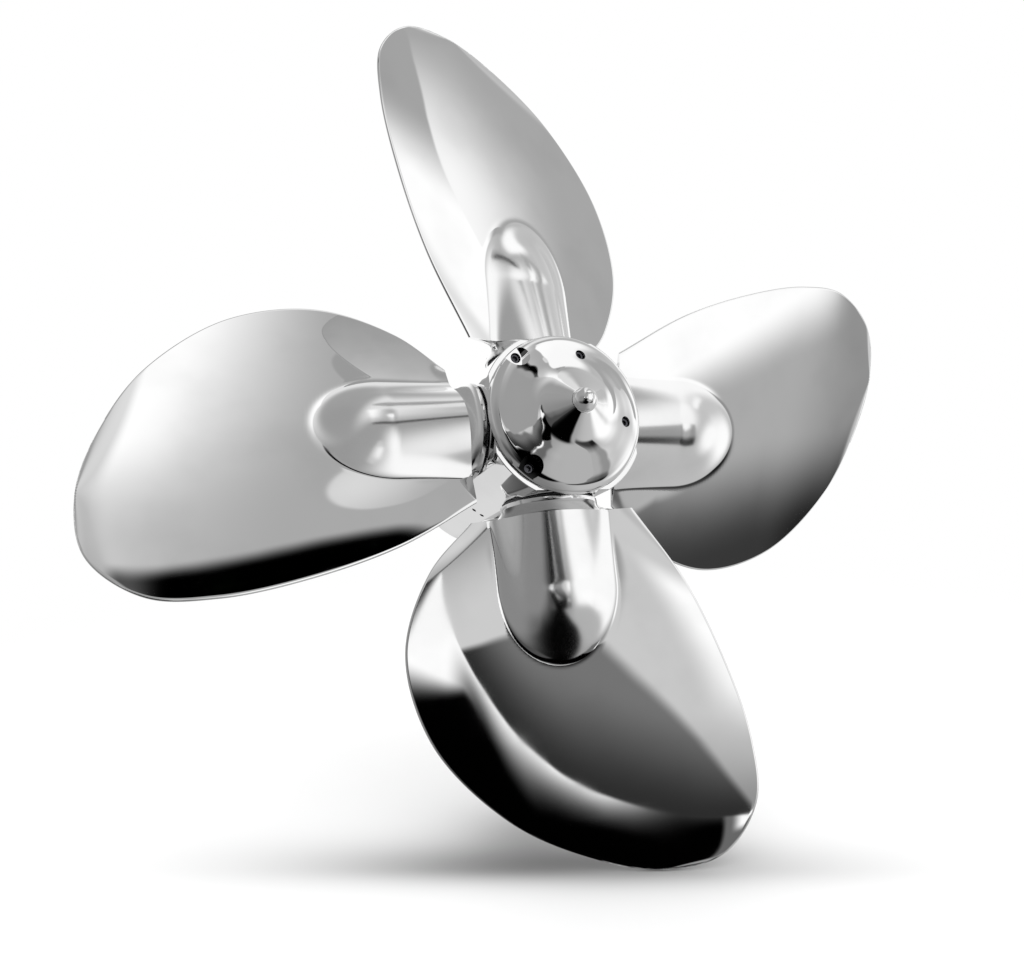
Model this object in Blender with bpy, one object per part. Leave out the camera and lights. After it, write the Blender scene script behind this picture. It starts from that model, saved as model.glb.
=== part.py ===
"""Four-bladed feathering ship propeller, modelled as separate pieces round its shaft axis.

The shaft axis is world Y. The hub's fore face is at Y = 0, the shaft bore opens there with the
origin at its centre, and the cap points to -Y. The blades stand at +Z, +X, -Z and -X.

Pieces that are turned about the shaft axis are drawn as (radius, distance aft of the hub
centre). A blade is drawn in its own frame: X along the chord towards the leading edge, Y towards
the fore side, Z outwards along its spindle.
"""

import math

import bmesh
import bpy
from mathutils import Vector

# Hub, in metres
HUB_RADIUS = 0.0590
HUB_FORE_LENGTH = 0.128
HUB_AFT_LENGTH = 0.0417
HUB_FORE_CHAMFER = 0.0035
SEAT_HEIGHT = 0.0520
SEAT_RADIUS = 0.0650
FIT_GAP = 0.0003

# Shaft boss in the hub's fore end
BOSS_RADIUS = 0.0360
BOSS_LENGTH = 0.0950
BORE_MOUTH_RADIUS = 0.0200
BORE_TAPER = 0.10
BORE_LENGTH = 0.0900
KEYWAY_WIDTH = 0.0120
KEYWAY_DEPTH = 0.0045
KEYWAY_LENGTH = 0.0700
COVER_INNER = 0.0410
COVER_OUTER = 0.0540
COVER_THICKNESS = 0.0060
COVER_SCREW_COUNT = 6
COVER_SCREW_CIRCLE = 0.0475

# Screws: half widths of shank, head and socket, lengths, and how far each hole is cut past it
SCREW_SIDES = 12
SCREW_GAP = 0.0004
COVER_SCREW = {
    "shank": 0.0020, "length": 0.0080, "head": 0.0034, "height": 0.0034, "socket": 0.0018, "mouth": 0.0060,
}
CAP_SCREW = {
    "shank": 0.0020, "length": 0.0120, "head": 0.0033, "height": 0.0034, "socket": 0.0018, "mouth": 0.0200,
}
PITCH_SCREW = {
    "shank": 0.0032, "length": 0.0140, "head": 0.0032, "height": 0.0, "socket": 0.0020, "mouth": 0.0100,
    "sunk": 0.0015,
}
GRUB_SCREW = {
    "shank": 0.0013, "length": 0.0060, "head": 0.0013, "height": 0.0, "socket": 0.0008, "mouth": 0.0060,
    "sunk": 0.0005,
}
FACING_AFT = (0.0, 0.0, 0.0)
FACING_FORE = (math.pi, 0.0, 0.0)

# Blade, in metres. The outline runs from the trailing edge's root corner round the tip to the
# leading edge's root corner, as (chord, radius) points.
BLADE_PITCH = math.radians(20.5)
BLADE_ROOT = 0.0610
BLADE_OUTLINE = (
    (-0.0588, 0.0610),
    (-0.0896, 0.1171),
    (-0.1095, 0.1769),
    (-0.1182, 0.2264),
    (-0.1151, 0.2640),
    (-0.0893, 0.2935),
    (-0.0480, 0.2993),
    (-0.0002, 0.2868),
    (0.0487, 0.2599),
    (0.0943, 0.2069),
    (0.1075, 0.1457),
    (0.0871, 0.0932),
    (0.0555, 0.0610),
)
TIP_POINT = 6
TIP_RADIUS = 0.2993
EDGE_HALF_THICKNESS = 0.0009
ROOT_HALF_THICKNESS = 0.0048
TIP_HALF_THICKNESS = 0.0016
WEB_OUTLINE = ((0.0345, 0.0560), (0.0390, 0.0595), (0.0460, 0.0606))

# Tongue: the long boss on the blade, from the root collar to a round end
TONGUE_HALF_WIDTH = 0.0392
TONGUE_ROOT_HEIGHT = 0.0222
TONGUE_MID_HEIGHT = 0.0160
TONGUE_STRAIGHT_END = 0.1100
TONGUE_END = 0.1620

# Root collar, spindle and seal
COLLAR_RADIUS = 0.0340
COLLAR_HEIGHT = 0.0530
COLLAR_TOP = 0.0560
COLLAR_BLEND = (0.0362, 0.0280, 0.5)
SPINDLE_RADIUS = 0.0200
SPINDLE_FOOT = 0.0240
SPINDLE_GAP = 0.0005
SEAL_INNER = 0.0255
SEAL_OUTER = 0.0320
SEAL_GROOVE_DEPTH = 0.0017

# Aft cap: (radius, distance aft of the hub centre) from the rim to the flat under the nose nut
CAP_SEAT = 0.0420
CAP_PROFILE = (
    (0.0555, 0.0434),
    (0.0545, 0.0464),
    (0.0520, 0.0492),
    (0.0480, 0.0512),
    (0.0400, 0.0541),
    (0.0320, 0.0569),
    (0.0260, 0.0596),
    (0.0200, 0.0633),
    (0.0140, 0.0673),
    (0.0086, 0.0710),
)
CAP_SCREW_CIRCLE = 0.0400
CAP_SCREW_CLOCK = (16.0, 102.0)
CAP_SCREW_SEAT = 0.0480
NOSE_BALL_RADIUS = 0.0083
NOSE_BALL_CENTRE = 0.0725
NOSE_STEM_RADIUS = 0.0060
NOSE_STEM_DEPTH = 0.0080

# Pitch screws, in pockets that cut the cap's edge
POCKET_CIRCLE = 0.0500
POCKET_RADIUS = 0.0075
POCKET_FLOOR = 0.0455
POCKET_MOUTH = 0.0200
PITCH_SCREW_CLOCK = {"ahead": -41.5, "astern": -140.0}

# Grub screws in the hub between the left and bottom blades
GRUB_AFT = -0.0480
GRUB_CLOCK = (-140.6, -147.4)

CLOCK = {"top": 0.0, "right": 90.0, "bottom": 180.0, "left": 270.0}

# How finely the surfaces are divided
TURNED_SEGMENTS = 48
RING_SEGMENTS = 32
EDGE_STEPS = 3
CHORD_STATIONS = 8
TONGUE_SIDES = 24
TONGUE_END_STEPS = 5
DOME_STEPS = 2
NOSE_STEPS = 8

MATERIALS = {
    "polished_metal": ((0.78, 0.79, 0.80), 0.06, 1.0),
    "turned_metal": ((0.62, 0.63, 0.64), 0.22, 1.0),
    "screw_metal": ((0.45, 0.46, 0.47), 0.25, 1.0),
    "bronze": ((0.60, 0.43, 0.24), 0.30, 1.0),
    "rubber": ((0.03, 0.03, 0.03), 0.60, 0.0),
}


def clear_scene():
    """Remove every object that the scene starts with."""
    for existing in list(bpy.data.objects):
        bpy.data.objects.remove(existing, do_unlink=True)


def material(name):
    """Return the named material, made once from its colour, roughness and metallic value."""
    found = bpy.data.materials.get(name)
    if found:
        return found
    colour, roughness, metallic = MATERIALS[name]
    made = bpy.data.materials.new(name)
    made.use_nodes = True
    shader = made.node_tree.nodes["Principled BSDF"]
    shader.inputs["Base Color"].default_value = (*colour, 1.0)
    shader.inputs["Roughness"].default_value = roughness
    shader.inputs["Metallic"].default_value = metallic
    return made


def add_object(name, shape, finish=None, parent=None):
    """Turn a bmesh into an object; one without a finish is a hidden cutter."""
    bmesh.ops.recalc_face_normals(shape, faces=shape.faces)
    mesh = bpy.data.meshes.new(name)
    shape.to_mesh(mesh)
    shape.free()
    mesh.shade_smooth()
    mesh.set_sharp_from_angle(angle=math.radians(35))
    made = bpy.data.objects.new(name, mesh)
    bpy.context.scene.collection.objects.link(made)
    if finish:
        mesh.materials.append(material(finish))
    else:
        made.hide_render = True
        made.display_type = "WIRE"
    made.parent = parent
    return made


def combine(target, tool, operation):
    """Cut the tool out of the target, or join it to it, with a live Boolean."""
    step = target.modifiers.new(f"{operation.lower()}_{tool.name}", "BOOLEAN")
    step.operation = operation
    step.object = tool


def turned(profile, segments=TURNED_SEGMENTS):
    """Turn (radius, height) points about the local Z axis; both ends of the list are joined."""
    shape = bmesh.new()
    points = [shape.verts.new((radius, 0.0, height)) for radius, height in profile]
    on_axis = profile[0][0] == 0.0 and profile[-1][0] == 0.0
    edges = [shape.edges.new(pair) for pair in zip(points, points[1:])]
    if not on_axis:
        edges.append(shape.edges.new((points[-1], points[0])))
    bmesh.ops.spin(
        shape,
        geom=points + edges,
        cent=(0.0, 0.0, 0.0),
        axis=(0.0, 0.0, 1.0),
        angle=math.tau,
        steps=segments,
        use_merge=True,
    )
    bmesh.ops.remove_doubles(shape, verts=shape.verts, dist=1e-6)
    return shape


def loft(sections):
    """Join closed sections with the same number of points, and close the two ends."""
    shape = bmesh.new()
    rings = [[shape.verts.new(point) for point in section] for section in sections]
    for low, high in zip(rings, rings[1:]):
        for index in range(len(low)):
            following = (index + 1) % len(low)
            shape.faces.new((low[index], low[following], high[following], high[index]))
    shape.faces.new(reversed(rings[0]))
    shape.faces.new(rings[-1])
    bmesh.ops.remove_doubles(shape, verts=shape.verts, dist=1e-6)
    return shape


def smooth_curve(points, steps):
    """Read a curve through the points, with the given number of steps from one to the next."""
    first = 2 * Vector(points[0]) - Vector(points[1])
    last = 2 * Vector(points[-1]) - Vector(points[-2])
    guides = [first, *(Vector(point) for point in points), last]
    curve = []
    for span in zip(guides, guides[1:], guides[2:], guides[3:]):
        knots = [0.0]
        for start, end in zip(span, span[1:]):
            knots.append(knots[-1] + math.sqrt((end - start).length))
        for step in range(steps):
            place = knots[1] + (knots[2] - knots[1]) * step / steps
            curve.append(curve_point(span, knots, place))
    curve.append(Vector(points[-1]))
    return curve


def curve_point(guides, knots, place):
    """Blend four guide points into the curve's point at this place between the middle two."""
    blends = (((0, 1), (1, 2), (2, 3)), ((0, 2), (1, 3)), ((1, 2),))
    level = list(guides)
    for spans in blends:
        blended = []
        for index, (low, high) in enumerate(spans):
            share = (place - knots[low]) / (knots[high] - knots[low])
            blended.append(level[index].lerp(level[index + 1], share))
        level = blended
    return level[0]


def turned_piece(name, profile, finish=None, parent=None, segments=TURNED_SEGMENTS):
    """Make a turned object from its (radius, height) points."""
    return add_object(name, turned(profile, segments), finish, parent)


def on_clock(radius, degrees, height):
    """Return a place in the shaft's frame; the clock angle starts at the top and runs to +X."""
    angle = math.radians(degrees)
    return Vector((radius * math.sin(angle), radius * math.cos(angle), height))


def hexagon_ring(size, height):
    """Return twelve points: the corners and the middles of the sides of a hexagon."""
    points = []
    for index in range(SCREW_SIDES):
        reach = size if index % 2 == 0 else size * math.cos(math.pi / 6)
        angle = math.tau * index / SCREW_SIDES
        points.append((reach * math.cos(angle), reach * math.sin(angle), height))
    return points


def round_ring(size, height):
    """Return as many points as a hexagon ring has, on a circle."""
    angles = (math.tau * index / SCREW_SIDES for index in range(SCREW_SIDES))
    return [(size * math.cos(angle), size * math.sin(angle), height) for angle in angles]


def screw(name, kind, place, turn, parent):
    """Make a screw with a hexagon socket; its place is the underside of its head."""
    sections = [round_ring(kind["shank"], -kind["length"])]
    if kind["head"] > kind["shank"]:
        sections.append(round_ring(kind["shank"], 0.0))
        sections.append(round_ring(kind["head"], 0.0))
    sections.append(round_ring(kind["head"], kind["height"]))
    sections.append(hexagon_ring(kind["socket"], kind["height"]))
    sections.append(hexagon_ring(kind["socket"], kind["height"] - kind["socket"]))
    made = add_object(name, loft(sections), "screw_metal", parent)
    made.location = place
    made.rotation_euler = turn
    return made


def screw_hole(name, kind, place, turn, parent):
    """Make the hidden cutter for a screw's hole, open past the face that the screw goes into."""
    shank = kind["shank"] + SCREW_GAP
    head = max(kind["head"], kind["shank"]) + SCREW_GAP
    profile = (
        (0.0, -kind["length"] - SCREW_GAP),
        (shank, -kind["length"] - SCREW_GAP),
        (shank, -SCREW_GAP),
        (head, -SCREW_GAP),
        (head, kind["mouth"]),
        (0.0, kind["mouth"]),
    )
    cutter = turned_piece(name, profile, parent=parent, segments=SCREW_SIDES)
    cutter.location = place
    cutter.rotation_euler = turn
    return cutter


def build_hub(shaft):
    """Make the hub body: a round housing with a stepped cavity at its fore face."""
    fore = -HUB_FORE_LENGTH
    cavity = BOSS_RADIUS + FIT_GAP
    recess = COVER_OUTER + FIT_GAP
    cavity_floor = fore + BOSS_LENGTH + FIT_GAP
    recess_floor = fore + COVER_THICKNESS + FIT_GAP
    profile = (
        (0.0, cavity_floor),
        (cavity, cavity_floor),
        (cavity, recess_floor),
        (recess, recess_floor),
        (recess, fore),
        (HUB_RADIUS - HUB_FORE_CHAMFER, fore),
        (HUB_RADIUS, fore + HUB_FORE_CHAMFER),
        (HUB_RADIUS, HUB_AFT_LENGTH),
        (0.0, HUB_AFT_LENGTH),
    )
    return turned_piece("hub_body", profile, "polished_metal", shaft)


def build_blade_seat(hub, name, axis):
    """Cut a spot-faced seat and a spindle socket into the hub, and lay the seal in its groove."""
    socket = SPINDLE_RADIUS + SPINDLE_GAP
    groove = SEAL_OUTER + FIT_GAP
    groove_floor = SEAT_HEIGHT - SEAL_GROOVE_DEPTH
    profile = (
        (0.0, SPINDLE_FOOT - SPINDLE_GAP),
        (socket, SPINDLE_FOOT - SPINDLE_GAP),
        (socket, groove_floor),
        (groove, groove_floor),
        (groove, SEAT_HEIGHT),
        (SEAT_RADIUS, SEAT_HEIGHT),
        (SEAT_RADIUS, 2 * SEAT_HEIGHT),
        (0.0, 2 * SEAT_HEIGHT),
    )
    combine(hub, turned_piece(f"seat_cutter_{name}", profile, parent=axis), "DIFFERENCE")
    seal = (
        (SEAL_INNER, groove_floor + FIT_GAP),
        (SEAL_OUTER, groove_floor + FIT_GAP),
        (SEAL_OUTER, COLLAR_HEIGHT - FIT_GAP),
        (SEAL_INNER, COLLAR_HEIGHT - FIT_GAP),
    )
    turned_piece(f"root_seal_{name}", seal, "rubber", axis, RING_SEGMENTS)


def plate_section(trailing, leading):
    """Return one closed section of the blade plate, from edge to edge and back."""
    radius = (trailing.y + leading.y) / 2
    share = (radius - BLADE_ROOT) / (TIP_RADIUS - BLADE_ROOT)
    middle = ROOT_HALF_THICKNESS + (TIP_HALF_THICKNESS - ROOT_HALF_THICKNESS) * max(share, 0.0)
    aft_side = []
    fore_side = []
    for index in range(CHORD_STATIONS + 1):
        across = math.cos(math.pi * index / CHORD_STATIONS)
        place = trailing.lerp(leading, (1 - across) / 2)
        half = EDGE_HALF_THICKNESS + (middle - EDGE_HALF_THICKNESS) * (1 - across * across)
        aft_side.append((place.x, -half, place.y))
        fore_side.append((place.x, half, place.y))
    return aft_side + fore_side[::-1]


def blade_plate():
    """Return the thin rounded plate of a blade, with the web that runs in to its root collar."""
    outline = smooth_curve(BLADE_OUTLINE, EDGE_STEPS)
    tip = TIP_POINT * EDGE_STEPS
    web = [Vector(point) for point in WEB_OUTLINE]
    sections = [plate_section(Vector((-point.x, point.y)), point) for point in web]
    for trailing, leading in zip(outline[: tip + 1], outline[: tip - 1 : -1]):
        sections.append(plate_section(trailing, leading))
    return loft(sections)


def stem_section(along, half_width, height, crest):
    """Return one section of a blade's stem: an ellipse at crest 0, two parabolas at crest 1."""
    section = []
    for index in range(TONGUE_SIDES):
        angle = math.tau * index / TONGUE_SIDES
        rise = math.sin(angle) * abs(math.sin(angle)) ** crest
        section.append((half_width * math.cos(angle), height * rise, along))
    return section


def blade_stem():
    """Return the spindle, the root collar and the tongue as one body along the spindle's axis."""
    outline = [
        (SPINDLE_FOOT, SPINDLE_RADIUS, SPINDLE_RADIUS, 0.0),
        (COLLAR_HEIGHT, SPINDLE_RADIUS, SPINDLE_RADIUS, 0.0),
        (COLLAR_HEIGHT, COLLAR_RADIUS, COLLAR_RADIUS, 0.0),
        (COLLAR_TOP, COLLAR_RADIUS, COLLAR_RADIUS, 0.0),
        ((COLLAR_TOP + BLADE_ROOT) / 2, *COLLAR_BLEND),
        (BLADE_ROOT, TONGUE_HALF_WIDTH, TONGUE_ROOT_HEIGHT, 1.0),
        (TONGUE_STRAIGHT_END, TONGUE_HALF_WIDTH, TONGUE_MID_HEIGHT, 1.0),
    ]
    for step in range(1, TONGUE_END_STEPS + 1):
        angle = math.pi / 2 * step / TONGUE_END_STEPS
        along = TONGUE_STRAIGHT_END + (TONGUE_END - TONGUE_STRAIGHT_END) * math.sin(angle)
        half_width = TONGUE_HALF_WIDTH * math.cos(angle)
        outline.append((along, half_width, TONGUE_MID_HEIGHT * math.cos(angle) ** 2, 1.0))
    return loft([stem_section(*level) for level in outline])


def build_blade(name, axis):
    """Make one blade, turned to its ahead pitch about its spindle."""
    blade = add_object(f"blade_{name}", blade_plate(), "polished_metal", axis)
    stem = add_object(f"stem_{name}", blade_stem(), parent=axis)
    blade.rotation_euler = stem.rotation_euler = (0.0, 0.0, BLADE_PITCH)
    combine(blade, stem, "UNION")


def build_boss(shaft):
    """Make the shaft boss with its tapered bore and keyway, and the seal round it."""
    fore = -HUB_FORE_LENGTH
    bore_foot = BORE_MOUTH_RADIUS - BORE_TAPER / 2 * BORE_LENGTH
    profile = (
        (0.0, fore + BORE_LENGTH),
        (bore_foot, fore + BORE_LENGTH),
        (BORE_MOUTH_RADIUS, fore),
        (BOSS_RADIUS, fore),
        (BOSS_RADIUS, fore + BOSS_LENGTH),
        (0.0, fore + BOSS_LENGTH),
    )
    boss = turned_piece("shaft_boss", profile, "bronze", shaft)
    keyway = bmesh.new()
    depth = BORE_MOUTH_RADIUS + KEYWAY_DEPTH
    bmesh.ops.create_cube(keyway, size=1.0)
    bmesh.ops.scale(keyway, verts=keyway.verts, vec=(KEYWAY_WIDTH, depth, 2 * KEYWAY_LENGTH))
    bmesh.ops.translate(keyway, verts=keyway.verts, vec=(0.0, depth / 2, fore))
    combine(boss, add_object("keyway_cutter", keyway, parent=shaft), "DIFFERENCE")
    inner = BOSS_RADIUS + FIT_GAP
    outer = COVER_INNER - FIT_GAP
    seal = ((inner, fore), (outer, fore), (outer, fore + COVER_THICKNESS), (inner, fore + COVER_THICKNESS))
    turned_piece("boss_seal", seal, "rubber", shaft, RING_SEGMENTS)


def build_fore_cover(shaft, hub):
    """Make the ring that closes the hub's fore end, and the screws that hold it."""
    fore = -HUB_FORE_LENGTH
    back = fore + COVER_THICKNESS
    profile = ((COVER_INNER, fore), (COVER_OUTER, fore), (COVER_OUTER, back), (COVER_INNER, back))
    cover = turned_piece("fore_cover", profile, "turned_metal", shaft)
    for index in range(COVER_SCREW_COUNT):
        clock = 360.0 * index / COVER_SCREW_COUNT
        place = on_clock(COVER_SCREW_CIRCLE, clock, fore + COVER_SCREW["height"] + SCREW_GAP)
        hole = screw_hole(f"cover_hole_{index + 1}", COVER_SCREW, place, FACING_FORE, shaft)
        combine(cover, hole, "DIFFERENCE")
        combine(hub, hole, "DIFFERENCE")
        screw(f"cover_screw_{index + 1}", COVER_SCREW, place, FACING_FORE, shaft)


def build_cap(shaft, hub):
    """Make the aft cap with its screws, and the pitch screws in the pockets at its edge."""
    dome = [tuple(point) for point in smooth_curve(CAP_PROFILE, DOME_STEPS)]
    rim_radius = CAP_PROFILE[0][0]
    nose_flat = CAP_PROFILE[-1][1]
    stem_hole = NOSE_STEM_RADIUS + FIT_GAP
    stem_floor = nose_flat - NOSE_STEM_DEPTH
    profile = [(0.0, CAP_SEAT), (rim_radius, CAP_SEAT), *dome]
    profile += [(stem_hole, nose_flat), (stem_hole, stem_floor), (0.0, stem_floor)]
    cap = turned_piece("aft_cap", profile, "polished_metal", shaft)
    for index, clock in enumerate(CAP_SCREW_CLOCK, start=1):
        place = on_clock(CAP_SCREW_CIRCLE, clock, CAP_SCREW_SEAT)
        hole = screw_hole(f"cap_hole_{index}", CAP_SCREW, place, FACING_AFT, shaft)
        combine(cap, hole, "DIFFERENCE")
        combine(hub, hole, "DIFFERENCE")
        screw(f"cap_screw_{index}", CAP_SCREW, place, FACING_AFT, shaft)
    for end, clock in PITCH_SCREW_CLOCK.items():
        place = on_clock(POCKET_CIRCLE, clock, POCKET_FLOOR)
        pocket_profile = ((0.0, 0.0), (POCKET_RADIUS, 0.0), (POCKET_RADIUS, POCKET_MOUTH), (0.0, POCKET_MOUTH))
        pocket = turned_piece(f"pocket_{end}", pocket_profile, parent=shaft, segments=RING_SEGMENTS)
        pocket.location = place
        sunk = place - Vector((0.0, 0.0, PITCH_SCREW["sunk"]))
        hole = screw_hole(f"pitch_hole_{end}", PITCH_SCREW, sunk, FACING_AFT, shaft)
        combine(cap, pocket, "DIFFERENCE")
        combine(cap, hole, "DIFFERENCE")
        combine(hub, hole, "DIFFERENCE")
        screw(f"pitch_screw_{end}", PITCH_SCREW, sunk, FACING_AFT, shaft)


def build_nose(shaft):
    """Make the ball-ended nut in the middle of the cap."""
    seat = CAP_PROFILE[-1][1] + FIT_GAP
    stem_floor = seat - NOSE_STEM_DEPTH
    start = math.acos((NOSE_BALL_CENTRE - seat) / NOSE_BALL_RADIUS)
    profile = [(0.0, stem_floor), (NOSE_STEM_RADIUS, stem_floor), (NOSE_STEM_RADIUS, seat)]
    for step in range(NOSE_STEPS + 1):
        angle = start + (math.pi - start) * step / NOSE_STEPS
        radius = NOSE_BALL_RADIUS * math.sin(angle) if step < NOSE_STEPS else 0.0
        profile.append((radius, NOSE_BALL_CENTRE - NOSE_BALL_RADIUS * math.cos(angle)))
    turned_piece("nose_nut", profile, "polished_metal", shaft, RING_SEGMENTS)


def build_grub_screws(shaft, hub):
    """Make the two grub screws that go into the hub from its side."""
    for index, clock in enumerate(GRUB_CLOCK, start=1):
        place = on_clock(HUB_RADIUS - GRUB_SCREW["sunk"], clock, GRUB_AFT)
        turn = (-math.pi / 2, 0.0, -math.radians(clock))
        hole = screw_hole(f"grub_hole_{index}", GRUB_SCREW, place, turn, shaft)
        combine(hub, hole, "DIFFERENCE")
        screw(f"grub_screw_{index}", GRUB_SCREW, place, turn, shaft)


def add_empty(name, location, turn):
    """Add an empty that carries a set of pieces."""
    made = bpy.data.objects.new(name, None)
    made.location = location
    made.rotation_euler = turn
    bpy.context.scene.collection.objects.link(made)
    return made


def main():
    """Build the whole propeller."""
    clear_scene()
    hub_centre = (0.0, -HUB_FORE_LENGTH, 0.0)
    shaft = add_empty("shaft_axis", hub_centre, (math.pi / 2, 0.0, 0.0))
    hub = build_hub(shaft)
    for name, clock in CLOCK.items():
        axis = add_empty(f"{name}_axis", hub_centre, (0.0, math.radians(clock), 0.0))
        build_blade_seat(hub, name, axis)
        build_blade(name, axis)
    build_boss(shaft)
    build_fore_cover(shaft, hub)
    build_cap(shaft, hub)
    build_nose(shaft)
    build_grub_screws(shaft, hub)


main()
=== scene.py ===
"""The finished look of a four-bladed feathering ship propeller, polished like a mirror.

The shaft axis is world Y and the cap points to -Y. Turned pieces are drawn in the shaft's frame,
as (radius, distance aft of the hub centre). A blade is drawn in its own frame: X along the chord
towards the leading edge, Y towards the fore side, Z outwards along its spindle.
"""

import logging
import math
from abc import ABC, abstractmethod
from collections.abc import Callable, Iterable, Sequence
from dataclasses import dataclass
from enum import Enum

import bmesh
import bpy
import numpy as np
from mathutils import Matrix, Vector


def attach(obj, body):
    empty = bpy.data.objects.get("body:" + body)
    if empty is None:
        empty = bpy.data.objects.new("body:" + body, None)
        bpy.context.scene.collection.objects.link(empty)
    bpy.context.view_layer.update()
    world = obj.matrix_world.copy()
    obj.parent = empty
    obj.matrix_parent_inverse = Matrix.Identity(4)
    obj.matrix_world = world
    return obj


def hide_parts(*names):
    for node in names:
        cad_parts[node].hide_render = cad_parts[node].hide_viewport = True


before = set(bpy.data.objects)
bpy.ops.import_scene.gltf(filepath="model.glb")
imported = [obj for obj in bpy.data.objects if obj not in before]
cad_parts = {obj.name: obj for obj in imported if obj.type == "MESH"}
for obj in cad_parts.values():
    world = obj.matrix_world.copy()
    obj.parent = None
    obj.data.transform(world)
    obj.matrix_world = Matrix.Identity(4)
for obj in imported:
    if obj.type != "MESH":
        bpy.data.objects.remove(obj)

LOG = logging.getLogger("propeller")

HUB_FORE_LENGTH = 0.1280
HUB_CENTRE = Vector((0.0, -HUB_FORE_LENGTH, 0.0))
SHAFT_PLACE = Matrix.Translation(HUB_CENTRE) @ Matrix.Rotation(math.pi / 2, 4, "X")
FACING_FORE = Matrix.Rotation(math.pi, 4, "X")
FACING_OUT = Matrix.Rotation(-math.pi / 2, 4, "X")
FIT_GAP = 0.0003
MERGE_DISTANCE = 1e-7
SCREEN_GAMMA = 2.2
MARKS = "marks"

Point = tuple[float, float]
Point3 = tuple[float, float, float]
Profile = list[Point]


class Station(Enum):
    """The four places of the blades round the hub, as degrees on a clock that starts at the top."""

    TOP = 0.0
    RIGHT = 90.0
    BOTTOM = 180.0
    LEFT = 270.0

    @property
    def body(self) -> str:
        """Return the name of the body that the blade at this place is."""
        return f"blade_{self.name.lower()}"

    @property
    def place(self) -> Matrix:
        """Return the frame of the blade's spindle, without its pitch."""
        return Matrix.Translation(HUB_CENTRE) @ Matrix.Rotation(math.radians(self.value), 4, "Y")


# Node trees


class Value:
    """A socket of a node tree; arithmetic on it adds Math nodes to the tree."""

    def __init__(self, nodes: "Nodes", socket: bpy.types.NodeSocket) -> None:
        """Wrap a socket of the tree that these nodes are added to."""
        self.nodes = nodes
        self.socket = socket

    def _maths(self, operation: str, *operands: "Value | float") -> "Value":
        """Add a Math node for an operation on the operands."""
        return self.nodes.add("ShaderNodeMath", {"operation": operation}, dict(enumerate(operands)))

    def __add__(self, other: "Value | float") -> "Value":
        """Return the sum."""
        return self._maths("ADD", self, other)

    def __radd__(self, other: float) -> "Value":
        """Return the sum with a number that stands first."""
        return self._maths("ADD", other, self)

    def __sub__(self, other: "Value | float") -> "Value":
        """Return the difference."""
        return self._maths("SUBTRACT", self, other)

    def __rsub__(self, other: float) -> "Value":
        """Return the difference from a number that stands first."""
        return self._maths("SUBTRACT", other, self)

    def __mul__(self, other: "Value | float") -> "Value":
        """Return the product."""
        return self._maths("MULTIPLY", self, other)

    def __rmul__(self, other: float) -> "Value":
        """Return the product with a number that stands first."""
        return self._maths("MULTIPLY", other, self)

    def __truediv__(self, other: "Value | float") -> "Value":
        """Return the quotient."""
        return self._maths("DIVIDE", self, other)

    def __rtruediv__(self, other: float) -> "Value":
        """Return the quotient of a number that stands first."""
        return self._maths("DIVIDE", other, self)

    def __pow__(self, power: float) -> "Value":
        """Return the value raised to a power."""
        return self._maths("POWER", self, power)

    def root(self) -> "Value":
        """Return the square root."""
        return self._maths("SQRT", self)

    def sine(self) -> "Value":
        """Return the sine of an angle in radians."""
        return self._maths("SINE", self)

    def size(self) -> "Value":
        """Return the value without its sign."""
        return self._maths("ABSOLUTE", self)

    def at_least(self, other: "Value | float") -> "Value":
        """Return the larger of the two."""
        return self._maths("MAXIMUM", self, other)

    def at_most(self, other: "Value | float") -> "Value":
        """Return the smaller of the two."""
        return self._maths("MINIMUM", self, other)

    def rise(self, low: float, high: float) -> "Value":
        """Return a smooth step from 0 at low to 1 at high; low may be the larger of the two.

        Args:
            low: where the step leaves 0.
            high: where the step reaches 1.

        Returns:
            The step, between 0 and 1.
        """
        share = self.ramp(low, high)
        return share * share * (3.0 - 2.0 * share)

    def ramp(self, low: float, high: float) -> "Value":
        """Return a straight ramp from 0 at low to 1 at high, held at 0 and 1 past its ends."""
        return self.nodes.add("ShaderNodeMapRange", {"clamp": True}, {0: self, 1: low, 2: high})

    def towards(self, other: "Value | float", share: "Value | float") -> "Value":
        """Return the blend of this value and another by a share of the other."""
        return self + (other - self) * share

    def other(self, output: str) -> "Value":
        """Return another output of the same node, by its name."""
        return Value(self.nodes, self.socket.node.outputs[output])


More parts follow.
